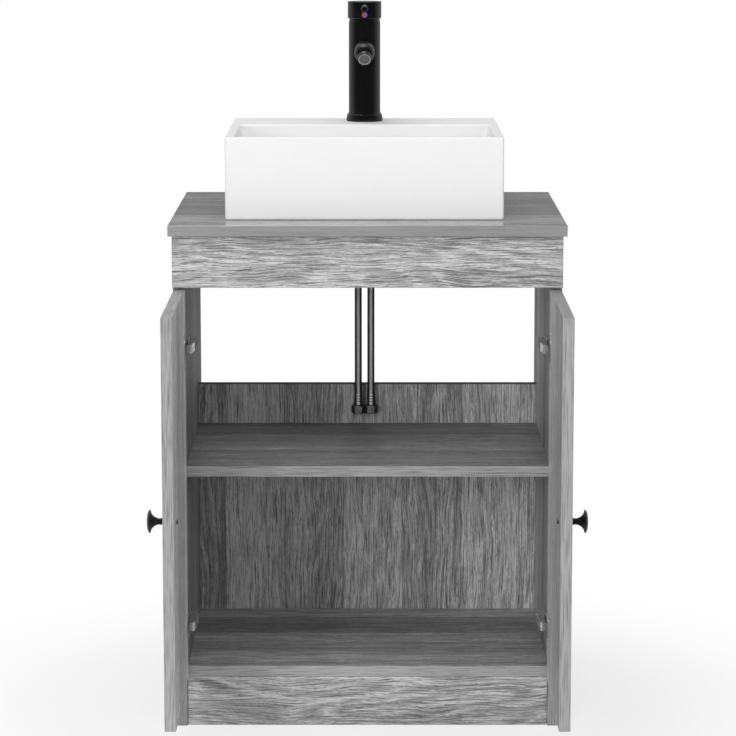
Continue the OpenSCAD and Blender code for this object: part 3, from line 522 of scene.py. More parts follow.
@dataclass(frozen=True)
class Coating(Finish):
    """Paint, glaze, plastic or rubber: a colour with slight unevenness."""

    effect: ClassVar[Effect] = MOTTLE
    low: Colour = grey(0.5)
    high: Colour = grey(0.6)
    rough: float = 0.5
    _: KW_ONLY
    scale: float = 600.0
    vary: float = 0.5
    depth: float = 0.00005
    relief: float = 0.2
    coat: float = 0.0
    coat_rough: float = 0.1
    shine: float = 0.5

    def feeds(self, graph: Graph, coords: Node) -> Feeds:
        """Returns what goes into the mottle."""
        numbers = {"Scale": self.scale, "Vary": self.vary, "Rough": self.rough}
        tones = {"Low": rgba(self.low), "High": rgba(self.high)}
        return {"Vector": coords.outputs["Object"], **tones, **numbers}

    def settings(self) -> dict[str, float]:
        """Returns the clear coat and how much the surface shines."""
        coat = {"Coat Weight": self.coat, "Coat Roughness": self.coat_rough}
        return {**coat, "Specular IOR Level": self.shine}


def painted_highlight(graph: Graph, tone: Colour, edge_shade: Colour | None) -> Feed:
    """Paints the narrow highlight of a thin bright tube into its colour: painted highlight in the
    middle, painted shade at both edges.

    Args:
        graph: The material's graph.
        tone: The painted highlight's colour, where the surface faces the eye.
        edge_shade: The painted shade where the surface turns away, or None for one tone all over.

    Returns:
        The colour.
    """
    if edge_shade is None:
        return rgba(tone)
    facing = graph.add("ShaderNodeLayerWeight", {"Blend": 0.5}).outputs["Facing"]
    return graph.blend(graph.span(facing, 0.0, 0.17), rgba(tone), rgba(edge_shade))


@dataclass(frozen=True)
class Metal(Finish):
    """Bare or plated metal with fine rolling lines, and with an edge colour a painted highlight and
    shade.
    """

    effect: ClassVar[Effect] = BRUSHED
    low: Colour = grey(0.55)
    high: Colour = grey(0.75)
    rough: float = 0.25
    _: KW_ONLY
    relief: float = 0.12
    metallic: float = 1.0
    # edge: the painted shade towards the outline, which makes low and high a painted highlight.
    edge: Colour | None = None

    def feeds(self, graph: Graph, coords: Node) -> Feeds:
        """Returns what goes into the rolled metal."""
        low, high = (painted_highlight(graph, tone, self.edge) for tone in (self.low, self.high))
        return {"Vector": coords.outputs["Object"], "Low": low, "High": high, "Rough": self.rough}

    def settings(self) -> dict[str, float]:
        """Returns how metallic the surface is and how much it shines."""
        # Where the highlight is painted into the colour, the real shine is muted.
        shine = MUTED_SHINE if self.edge else 0.5
        return {"Metallic": self.metallic, "Specular IOR Level": shine}


@dataclass(frozen=True)
class Braid(Finish):
    """A woven sleeve of dark steel wire round one hose: painted highlight in the middle, painted
    shade at the sides.
    """

    effect: ClassVar[Effect] = BRAID
    centre: Triple = (0.0, 0.0, 0.0)
    _: KW_ONLY
    pitch: float = 0.022
    # The colours that face the eye are a painted highlight; the edge colours are painted shade.
    low: Colour = grey(0.5)
    low_edge_shade: Colour = grey(0.012)
    high: Colour = grey(0.98)
    high_edge_shade: Colour = grey(0.04)
    depth: float = GRAIN_DEPTH
    relief: float = 0.6

    def feeds(self, graph: Graph, coords: Node) -> Feeds:
        """Returns what goes into the braid."""
        low, high = painted_highlight(graph, self.low, self.low_edge_shade), painted_highlight(graph, self.high, self.high_edge_shade)
        return {
            "Vector": coords.outputs["Object"],
            "Centre": self.centre,
            "Low": low,
            "High": high,
            "Pitch": self.pitch,
        }

    def settings(self) -> dict[str, float]:
        """Returns how metallic the wires are and how much they shine."""
        return {"Metallic": 0.1, "Specular IOR Level": MUTED_SHINE}


@dataclass(frozen=True)
class TwoColourMark(Coating):
    """The mark on the tap: red on the left half and blue on the right half."""

    rough: float = 0.22
    _: KW_ONLY
    scale: float = 900.0
    vary: float = 0.3
    depth: float = FILM_DEPTH
    relief: float = 0.1
    middle_x: float = 0.0
    left: Colour = (0.52, 0.05, 0.045)
    right: Colour = (0.05, 0.14, 0.52)
    seam: float = 0.0003

    def feeds(self, graph: Graph, coords: Node) -> Feeds:
        """Splits the colour at the tap's axis.

        Args:
            graph: The material's graph.
            coords: Its coordinates.

        Returns:
            What goes into the mottle.
        """
        x = graph.split(coords.outputs["Object"])[Axis.X.value]
        share = graph.span(x, self.middle_x - self.seam, self.middle_x + self.seam)
        colour = graph.blend(share, rgba(self.left), rgba(self.right))
        return super().feeds(graph, coords) | {"Low": colour, "High": colour}


# Each board's tone paints in the light and shade that fall on it: painted shade darkens the inner
# sides (the left one most) and the countertop's top against its raised front edge, painted light
# lifts the shelves and the back panel, and the back panel's dark end faces are partly painted shade
# along its top edge.
BOARDS = (
    OakLaminate("oak left_side", Lie.SIDE, seed=3.1, figure=0.4, tone=0.75),
    OakLaminate("oak right_side", Lie.SIDE, seed=7.4, figure=0.4, tone=0.88),
    OakLaminate("oak bottom_shelf", Lie.FLAT, seed=11.6, figure=0.5, tone=1.16),
    OakLaminate("oak middle_shelf", Lie.FLAT, seed=16.2, figure=0.5, tone=1.15),
    OakLaminate("oak back_panel", Lie.BACK, seed=21.9, figure=0.75, tone=1.1, raw=0.95),
    OakLaminate("oak kick_board", Lie.RAIL, seed=27.3, figure=1.1, tone=0.95, planks=0.0),
    OakLaminate("oak rear_rail", Lie.RAIL, seed=31.8, figure=0.8, planks=0.0),
    OakLaminate("oak apron", Lie.RAIL, seed=36.5, figure=0.85, tone=1.03, planks=0.0),
    OakLaminate(
        "oak countertop", seed=44.7, figure=0.5, tone=0.72, rough=0.14, shine=0.8, edge=0.05
    ),
)
BEECH = OakLaminate(
    "beech",
    seed=41.0,
    figure=0.2,
    pores=0.3,
    dark=(0.38, 0.24, 0.13),
    mid=(0.52, 0.36, 0.21),
    light=(0.62, 0.45, 0.28),
    pore=(0.26, 0.15, 0.08),
    planks=0.0,
    edge=-0.19,
)
ZINC = Metal("zinc plate", grey(0.62), grey(0.95), 0.2, metallic=0.85)
DULL_STEEL = Metal("dull steel", grey(0.22), grey(0.36), 0.38)
# The ferrules and nuts get a painted highlight down the middle and painted shade at their outline.
CRIMPED_STEEL = Metal("crimped steel", grey(0.8), grey(0.95), 0.38, metallic=0.0, edge=grey(0.03))
NUT_STEEL = Metal("nut steel", grey(0.22), grey(0.4), 0.38, metallic=0.35, edge=grey(0.05))
AERATOR_STEEL = Metal("aerator steel", grey(0.24), grey(0.31), 0.5, metallic=0.3)
CHROME = Metal("chrome", grey(0.72), grey(0.84), 0.10, relief=0.04)
AERATOR_GRID = Coating("aerator grid", grey(0.1), grey(0.2), scale=1500.0, vary=0.9)
GLAZE = Coating(
    "white glaze",
    grey(0.8),
    grey(0.83),
    0.36,
    scale=60.0,
    vary=0.35,
    depth=0.0004,
    relief=0.05,
    coat=0.12,
    shine=0.0,
)
MATT_BLACK = Coating(
    "black coating",
    grey(0.003),
    grey(0.006),
    0.3,
    scale=1100.0,
    vary=0.6,
    depth=0.00004,
    relief=0.18,
    shine=0.35,
)
KNOB_BLACK = Coating(
    "black knob lacquer", grey(0.006), grey(0.011), 0.36, scale=900.0, vary=0.6, depth=0.00004
)
WHITE_PLASTIC = Coating("white plastic", grey(0.55), grey(0.62), 0.45, scale=700.0, vary=0.4)
BLACK_PLASTIC = Coating(
    "black plastic", grey(0.018), grey(0.03), scale=800.0, vary=0.6, depth=0.0001, relief=0.3
)
RUBBER = Coating(
    "rubber", grey(0.015), grey(0.024), 0.8, scale=500.0, vary=0.6, depth=0.0001, relief=0.4
)


def to_mesh(name: str, bm: BMesh) -> bpy.types.Mesh:
    """Turns a bmesh into a mesh and frees it.

    Args:
        name: The mesh's name.
        bm: The bmesh, which is used up.

    Returns:
        The mesh.
    """
    mesh = bpy.data.meshes.new(name)
    bm.to_mesh(mesh)
    bm.free()
    return mesh


def stand(name: str, data: bpy.types.ID) -> Object:
    """Puts an object in the scene.

    Args:
        name: The object's name.
        data: What it shows: a mesh, curve, lamp or camera.

    Returns:
        The object.
    """
    made = bpy.data.objects.new(name, data)
    bpy.context.scene.collection.objects.link(made)
    return made


def middle(node: str) -> Vector:
    """Returns the middle of a CAD node's box, in metres."""
    low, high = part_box(node)
    return (low + high) / 2


def floor_place(node: str) -> Matrix:
    """Returns the place on the floor under the middle of a CAD node's box."""
    return Matrix.Translation(middle(node) * Vector((1, 1, 0)))


def turned(degrees: float, axis: str) -> Matrix:
    """Returns a turn about an axis."""
    return Matrix.Rotation(math.radians(degrees), 4, axis)


def around(x: float, y: float, radius: float, angle: float, z: float) -> Vector:
    """Returns a point at a height, at an angle in radians round an upright axis."""
    return Vector((x + radius * math.cos(angle), y + radius * math.sin(angle), z))


def rod(radius: float, low: float, high: float) -> Profile:
    """Returns the profile of a straight rod between two heights."""
    return [(0, low), (radius, low), (radius, high), (0, high)]


def arc(radius: float, start: float, stop: float, steps: int = 16) -> Profile:
    """Returns points on a round of a profile, from one angle in radians to another."""
    angles = (start + (stop - start) * step / steps for step in range(steps + 1))
    return [(radius * math.cos(a), radius * math.sin(a)) for a in angles]


def soften(corners: Sequence[Triple], steps: int = 6) -> Profile:
    """Rounds the corners of a profile.

    Args:
        corners: Points with the radius that each is rounded to: (across, up, radius).
        steps: Parts of each round.

    Returns:
        The profile with its rounds.
    """
    line: Profile = []
    for index, (x, y, radius) in enumerate(corners):
        here = Vector((x, y))
        if radius <= 0 or index in (0, len(corners) - 1):
            line.append((x, y))
            continue
        back = Vector(corners[index - 1][:2]) - here
        ahead = Vector(corners[index + 1][:2]) - here
        angle = back.angle(ahead)
        reach = min(radius / math.tan(angle / 2), back.length * 0.49, ahead.length * 0.49)
        start, stop = here + back.normalized() * reach, here + ahead.normalized() * reach
        for step in range(steps + 1):
            t = step / steps
            point = start * (1 - t) ** 2 + here * 2 * t * (1 - t) + stop * t**2
            line.append((point.x, point.y))
    return line


def skin(loops: Sequence[Sequence[Vector]], closed: bool) -> BMesh:
    """Covers loops with faces. A loop of one point closes the shape there.

    Args:
        loops: The loops, in millimetres. Those of more than one point have the same number.
        closed: Whether the last loop joins the first. If not, both ends are capped.

    Returns:
        The mesh, in metres.
    """
    bm = bmesh.new()
    rows = [[bm.verts.new(point * MM) for point in loop] for loop in loops]
    count = max(len(row) for row in rows)
    pairs = list(zip(rows, rows[1:])) + ([(rows[-1], rows[0])] if closed else [])
    for low, high in pairs:
        for k in range(count):
            n = (k + 1) % count
            steps = ((low, k), (low, n), (high, n), (high, k))
            corners = list(dict.fromkeys(row[at % len(row)] for row, at in steps))
            if len(corners) > 2:
                bm.faces.new(corners)
    if not closed and len(rows[0]) > 1:
        bm.faces.new(list(reversed(rows[0])))
        bm.faces.new(rows[-1])
    bmesh.ops.recalc_face_normals(bm, faces=bm.faces)
    return bm


def lathe(profile: Profile, turns: int = ROUND) -> BMesh:
    """Turns a profile round the Z axis. A point on the axis closes the shape there.

    Args:
        profile: Points (radius, height) in millimetres, from the bottom up and outside.
        turns: Points round.

    Returns:
        The closed mesh, in metres.
    """
    angles = [2 * math.pi * k / turns for k in range(turns)]
    rings = [
        [around(0, 0, radius, angle, z) for angle in (angles if radius > ON_AXIS else (0.0,))]
        for radius, z in profile
    ]
    return skin(rings, len(rings[0]) > 1 and len(rings[-1]) > 1)


def box_loop(
    low: Sequence[float],
    high: Sequence[float],
    radius: float,
    z: float,
    inset: float = 0.0,
    steps: int = 8,
) -> list[Vector]:
    """Makes one level loop round a rectangle with round corners.

    Args:
        low: Lowest x and y.
        high: Highest x and y.
        radius: Corner radius.
        z: Height.
        inset: How far inside the rectangle the loop lies.
        steps: Parts of each corner.

    Returns:
        The loop's points, anticlockwise from the corner at low x and low y.
    """
    left, front = (low[axis] + inset + radius for axis in (0, 1))
    right, back = (high[axis] - inset - radius for axis in (0, 1))
    corners = ((left, front, 180), (right, front, 270), (right, back, 0), (left, back, 90))
    return [
        around(x, y, radius, math.radians(start + 90 * step / steps), z)
        for x, y, start in corners
        for step in range(steps + 1)
    ]


def matching_circle(centre: Vector, radius: float, z: float, count: int) -> list[Vector]:
    """Returns a level circle whose points match those of a rectangle's loop."""
    angles = (math.radians(180 + 4 * (90 * k + 45) / count) for k in range(count))
    return [around(centre.x, centre.y, radius, angle, z) for angle in angles]


@dataclass
class Assembly:
    """A group of pieces that belong together on the cabinet."""

    body: str = "cabinet"

    def piece(
        self,
        name: str,
        bm: BMesh,
        finish: Finish,
        slot: str,
        place: Matrix,
        nodes: Sequence[str] = (),
        body: str | None = None,
        crease: float = 32.0,
    ) -> Object:
        """Makes a piece, dresses it and ties it to the frame.

        Args:
            name: The piece's name.
            bm: Its mesh, which is used up.
            finish: Its finish.
            slot: The record's material slot. It is not used.
            place: Where it goes, in metres.
            nodes: The CAD nodes that it stands for.
            body: The body that it rides on, if not the assembly's own.
            crease: Edges sharper than this many degrees stay sharp.

        Returns:
            The piece.
        """
        bm.transform(place)
        mesh = to_mesh(name, bm)
        mesh.shade_smooth()
        mesh.set_sharp_from_angle(angle=math.radians(crease))
        mesh.materials.append(finish.material())
        made = stand(name, mesh)
        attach(made, body or self.body)
        if nodes:
            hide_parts(*nodes)
        LOG.info("%s: %d faces for %s", name, len(mesh.polygons), ", ".join(nodes) or "detail")
        return made

    def coat(self, finish: Finish, *nodes: str) -> None:
        """Gives CAD nodes a finish.

        Args:
            finish: The finish.
            *nodes: The nodes.
        """
        for node in nodes:
            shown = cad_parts[node]
            if not shown.material_slots:
                shown.data.materials.append(None)
            for slot in shown.material_slots:
                slot.material = finish.material()
            LOG.info("%s: %s", node, finish.name)


@dataclass
class Carcass(Assembly):
    """The laminated boards and what joins them."""

    boards: tuple[OakLaminate, ...] = BOARDS

    def build(self) -> None:
        """Dresses every board and fitting."""
        for board in self.boards:
            self.coat(board, board.name.removeprefix("oak "))
        self.coat(BEECH, "dowels")
        self.coat(ZINC, "cam_bolts", "cam_nuts", "corner_brackets", "bracket_screws")


@dataclass
class Door(Assembly):
    """One door with its knob and hinges. The knob's profile has (radius, height, rounding)."""

    side: str = "right"
    seed: float = 51.3
    # tone: paints in the light and shade on this door's laminate.
    tone: float = 1.0
    edge: float = -0.19
    knob_profile: tuple[Triple, ...] = (
        (0, 0, 0),
        (6.6, 0, 0.4),
        (7.0, 1.4, 0.9),
        (6.2, 2.7, 0.8),
        (4.9, 4.0, 2.5),
        (4.3, 7.5, 3.0),
        (4.9, 11.0, 5.0),
        (7.2, 15.5, 5.0),
        (11.5, 19.0, 4.0),
        (16.5, 20.2, 0.5),
        (16.5, 21.0, 0.5),
        (13.6, 23.6, 6.0),
        (7.0, 24.8, 8.0),
        (0, 25.0, 0),
    )

    def build(self) -> None:
        """Dresses the door and its hinges and makes the knob."""
        side = self.side
        oak = OakLaminate(
            f"oak {side}_door", Lie.SIDE, seed=self.seed, figure=0.6, tone=self.tone, edge=self.edge
        )
        self.coat(oak, f"{side}_door")
        for level in ("upper", "lower"):
            self.coat(ZINC, f"{side}_{level}_hinge_cup", f"{side}_{level}_hinge_arm")
        self.coat(ZINC, f"{side}_hinge_pins", f"{side}_hinge_plates", f"{side}_cup_screws")
        self.coat(DULL_STEEL, f"{side}_knob_screw")
        self.knob()

    def knob(self) -> None:
        """Turns the flared knob, with its foot on the door's outer face."""
        node = f"{self.side}_knob"
        low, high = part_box(node)
        centre = middle(node)
        foot_x, quarter = (low.x, 90) if self.side == "right" else (high.x, -90)
        place = Matrix.Translation((foot_x, centre.y, centre.z)) @ turned(quarter, "Y")
        bm = lathe(soften(self.knob_profile))
        self.piece(f"{node}_turned", bm, KNOB_BLACK, "knob_black", place, [node])


@dataclass
class Basin(Assembly):
    """The glazed vessel basin with its waste."""

    wall: float = 13.0
    corner: float = 4.0
    least_corner: float = 0.8
    foot_inset: float = 12.0
    foot_round: float = 4.5
    rim: float = 2.2
    rim_inset: float = 5.5
    lip: float = 3.0
    lip_run: float = 1.2
    lip_drop: float = 8.0
    lip_round: float = 4.0
    slope: float = 30.0
    floor_up: float = 18.0
    floor_round: float = 17.6
    floor_run: float = 48.4
    bowl_corner: float = 9.0
    corner_growth: float = 0.75
    hole: float = 45.8
    hole_bevel: float = 1.0
    ledge: float = 122.0
    ledge_thick: float = 15.0
    hollow_corner: float = 4.0
    tap_hole_r: float = 17.5
    tap_hole_deep: float = 40.0
    clear: float = 5.0
    plug_r: float = 31.0
    plug_thick: float = 4.4
    stem_r: float = 5.0

    def build(self) -> None:
        """Makes the basin and the plug and dresses the waste."""
        self.vessel()
        self.plug()
        self.coat(CHROME, "waste_body")
        self.coat(BLACK_PLASTIC, "waste_nut")

    def vessel(self) -> None:
        """Covers the outside, rim, bowl and drain hole in one closed skin, then opens the rear."""
        low, high = (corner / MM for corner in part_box("basin"))
        outside = soften(
            [
                (-self.foot_inset, low.z, 0),
                (0.0, low.z, self.foot_round),
                (0.0, high.z, self.rim),
                (-self.rim_inset, high.z, 0),
            ]
        )
        loops = [
            box_loop(low, high, max(self.corner + out, self.least_corner), z, -out)
            for out, z in outside
        ]
        floor_z = low.z + self.floor_up
        inside = soften(
            [
                (-self.rim_inset, high.z, 0),
                (0.0, high.z, self.lip),
                (self.lip_run, high.z - self.lip_drop, self.lip_round),
                (self.slope, floor_z, self.floor_round),
                (self.slope + self.floor_run, floor_z, 0),
            ],
            8,
        )
        bowl_low = (low.x + self.wall, low.y + self.wall)
        bowl_high = (high.x - self.wall, high.y - self.ledge)
        for inset, z in inside:
            widest = (bowl_high[1] - bowl_low[1]) / 2 - inset - 1.0
            radius = min(self.bowl_corner + max(inset, -5.0) * self.corner_growth, widest)
            loops.append(box_loop(bowl_low, bowl_high, radius, z, inset))
        drain = middle("waste_body") / MM
        hole, bevel = self.hole / 2, self.hole_bevel
        for radius, z in ((hole + bevel, floor_z), (hole, floor_z - bevel), (hole, low.z)):
            loops.append(matching_circle(drain, radius, z, len(loops[0])))
        bm = skin(loops, True)
        vessel = self.piece(
            "basin_vessel", bm, GLAZE, "basin_glaze", Matrix.Identity(4), ["basin"], crease=40.0
        )
        self.open_rear(vessel, low, high)

    def open_rear(self, vessel: Object, low: Vector, high: Vector) -> None:
        """Cuts the hollow under the tap ledge and the tap's hole.

        Args:
            vessel: The basin.
            low: Its lowest corner.
            high: Its highest corner.
        """
        hollow = box_loop(
            (low.x + self.wall, high.y - self.ledge + self.wall),
            (high.x - self.wall, high.y - self.wall),
            self.hollow_corner,
            low.z - self.clear,
        )
        top = [Vector((point.x, point.y, high.z - self.ledge_thick)) for point in hollow]
        drill = rod(self.tap_hole_r, high.z - self.tap_hole_deep, high.z + self.clear)
        hole = lathe(drill, SMALL_ROUND)
        hole.transform(floor_place("tap_body"))
        for number, bm in enumerate((skin([hollow, top], False), hole)):
            name = f"cutter{number}"
            tool = stand(name, to_mesh(name, bm))
            cut = vessel.modifiers.new("cut", "BOOLEAN")
            cut.operation, cut.solver, cut.object = "DIFFERENCE", "EXACT", tool
            graph = bpy.context.evaluated_depsgraph_get()
            result = bpy.data.meshes.new_from_object(vessel.evaluated_get(graph))
            vessel.modifiers.clear()
            old, vessel.data = vessel.data, result
            bpy.data.meshes.remove(old)
            bpy.data.objects.remove(tool)
        vessel.data.name = vessel.name

    def plug(self) -> None:
        """Turns the domed push plug and its stem."""
        low, high = (corner.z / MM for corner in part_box("waste_plug"))
        disc = high - self.plug_thick
        profile = soften(
            [
                (0, low, 0),
                (self.stem_r, low, 0.8),
                (self.stem_r, disc, 0),
                (self.plug_r - 1.5, disc, 0.4),
                (self.plug_r, disc + 1.0, 0.6),
                (self.plug_r, disc + 2.6, 1.6),
                (self.plug_r - 4.0, disc + 3.9, 6.0),
                (0, high, 0),
            ]
        )
        bm, place = lathe(profile), floor_place("waste_plug")
        self.piece("plug_domed", bm, CHROME, "chrome_trim", place, ["waste_plug"], "plug")


@dataclass
class Tap(Assembly):
    """The single-lever mixer tap. Its axis and the top of the basin's ledge come from the CAD."""

    axis: Vector = field(init=False)
    rim_z: float = field(init=False)
    gasket: float = 1.0
    base_r: float = 28.5
    body_r: float = 24.5
    bore_r: float = 17.7
    bore_up: float = 13.0
    bore_down: float = 45.0
    pivot_up: float = 151.0
    dome_open_r: float = 15.0
    spout_r: float = 15.5
    spout_up: float = 111.0
    spout_reach: float = 85.0
    spout_root: float = 8.0
    nozzle_tip: float = 30.0
    nozzle_r: float = 10.75
    nozzle_l: float = 18.5
    nozzle_deep: float = 7.0
    aerator_r: float = 9.65
    aerator_gap: float = 0.05
    mesh_r: float = 7.65
    mesh_step: float = 1.15
    mesh_deep: float = 2.0
    mesh_thick: float = 0.5
    wire_wide: float = 0.28
    wire_high: float = 0.35
    wire_up: float = 0.62
    cap_r: float = 26.15
    cap_gap: float = 0.5
    lever_up: float = 25.6
    lever_l: float = 43.0
    lever_r: float = 6.0
    lever_tip_r: float = 4.9
    lever_root: float = 4.0

    def build(self) -> None:
        """Makes the black pieces and dresses the rest."""
        self.axis = middle("tap_body") / MM
        self.rim_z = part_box("tap_gasket")[0].z / MM
        self.column()
        self.spout()
        self.handle()
        mark = TwoColourMark("hot and cold mark", middle_x=self.axis.x * MM)
        self.coat(AERATOR_STEEL, "aerator_ring")
        self.coat(mark, "temperature_dot")
        self.coat(WHITE_PLASTIC, "cartridge", "cartridge_collar")
        self.coat(ZINC, "cartridge_ring", "cartridge_spindle", "tap_stud", "tap_washer", "tap_nut")
        self.coat(RUBBER, "tap_gasket")

    def at_axis(self, up: float, forward: float = 0.0) -> Matrix:
        """Returns a place at a height above the floor, in front of the tap's axis."""
        return Matrix.Translation(Vector((self.axis.x, self.axis.y - forward, up)) * MM)

    def column(self) -> None:
        """Turns the base, the straight column and the round shoulder, hollow for the cartridge."""
        z0, r = self.gasket, self.body_r
        profile = soften(
            [
                (0, z0, 0),
                (self.base_r, z0, 0.6),
                (self.base_r, z0 + 2.8, 1.2),
                (self.base_r - 1.4, z0 + 8.8, 2.5),
                (r + 1.2, z0 + 10.6, 1.5),
                (r + 0.4, z0 + 12.6, 1.0),
                (r, z0 + 13.4, 0.4),
            ]
        )
        shoulder = arc(r, 0.0, math.acos(self.dome_open_r / r))
        profile += [(x, self.pivot_up + y) for x, y in shoulder]
        top, foot = self.pivot_up + self.bore_up, self.pivot_up - self.bore_down
        profile += [(self.dome_open_r, top), (self.bore_r, top), (self.bore_r, foot), (0, foot)]
        place = self.at_axis(self.rim_z)
        self.piece("tap_column", lathe(profile), MATT_BLACK, "tap_black", place, ["tap_body"])

    def spout(self) -> None:
        """Turns the arm with its round end, and the nozzle that tips down from it."""
        r, reach = self.spout_r, self.spout_reach
        root = self.body_r - self.spout_root
        profile = [(0.0, root), (r, root), (r, reach - 0.5)]
        profile += [(x, reach + y) for x, y in arc(r, 0.0, math.pi / 2)[1:-1]]
        profile.append((0.0, reach + r))
        up = self.rim_z + self.spout_up
        place = self.at_axis(up) @ turned(90, "X")
        self.piece("spout_arm", lathe(profile), MATT_BLACK, "tap_black", place, ["tap_spout"])
        seat_r, seat_z = self.aerator_r + self.aerator_gap, self.nozzle_l - self.nozzle_deep
        nozzle = soften(
            [
                (0, 2.0, 0),
                (self.nozzle_r, 2.0, 0),
                (self.nozzle_r, self.nozzle_l, 0.7),
                (seat_r, self.nozzle_l, 0.2),
                (seat_r, seat_z, 0),
                (0, seat_z, 0),
            ]
        )
        tip = self.at_axis(up, reach) @ turned(90 + self.nozzle_tip, "X")
        self.piece("spout_nozzle", lathe(nozzle), MATT_BLACK, "tap_black", tip)
        self.mesh_disc(tip)

    def mesh_disc(self, tip: Matrix) -> None:
        """Makes the aerator's round mesh: a thin disc with crossing wires raised on it.

        Args:
            tip: The nozzle's place, with Z along the water's way.
        """
        z0 = self.nozzle_l - self.mesh_deep
        bm = lathe(rod(self.mesh_r, z0, z0 + self.mesh_thick), SMALL_ROUND)
        count = int(self.mesh_r / self.mesh_step)
        for turn in (0, 90):
            for k in range(-count, count + 1):
                across = k * self.mesh_step
                reach = math.sqrt(max(self.mesh_r**2 - across**2, 0.1))
                wire = bmesh.ops.create_cube(bm, size=1.0)["verts"]
                size = Vector((2 * reach, self.wire_wide, self.wire_high)) * MM
                place = Matrix.Translation(Vector((0, across, z0 + self.wire_up)) * MM)
                matrix = turned(turn, "Z") @ place @ Matrix.Diagonal((*size, 1.0))
                bmesh.ops.transform(bm, matrix=matrix, verts=wire)
        self.piece("aerator_grid", bm, AERATOR_GRID, "mesh_grey", tip, ["aerator_mesh"])

    def handle(self) -> None:
        """Turns the cap and the pin lever."""
        low, high = (corner.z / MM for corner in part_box("handle_cap"))
        up = high - low
        inner_r = self.body_r + self.cap_gap
        rise = low - (self.rim_z + self.pivot_up)
        skirt = math.sqrt(inner_r**2 - rise**2)
        hollow = arc(inner_r, math.pi / 2, math.asin(rise / inner_r))[1:-1]
        profile = [(0.0, inner_r - rise)] + [(x, y - rise) for x, y in hollow]
        profile += soften(
            [
                (skirt, 0.0, 0),
                (skirt + 0.7, 0.0, 0.2),
                (self.cap_r, 1.8, 0.5),
                (self.cap_r, up, 1.0),
                (self.cap_r - 6.0, up, 0),
                (0.0, up, 0),
            ]
        )
        place = self.at_axis(low)
        nodes = ["handle_cap"]
        self.piece("handle_shell", lathe(profile), MATT_BLACK, "tap_black", place, nodes, "handle")
        lever = soften(
            [
                (0, -self.lever_root, 0),
                (self.lever_r, -self.lever_root, 0),
                (self.lever_r, 0.0, 2.0),
                (self.lever_tip_r, self.lever_l - 0.6, 1.6),
                (self.lever_tip_r - 2.2, self.lever_l + 0.8, 1.0),
                (0, self.lever_l + 1.0, 0),
            ]
        )
        up = self.rim_z + self.pivot_up + self.lever_up
        place = self.at_axis(up, self.cap_r) @ turned(90, "X")
        nodes = ["handle_lever"]
        self.piece("lever_pin", lathe(lever, 64), MATT_BLACK, "tap_black", place, nodes, "handle")


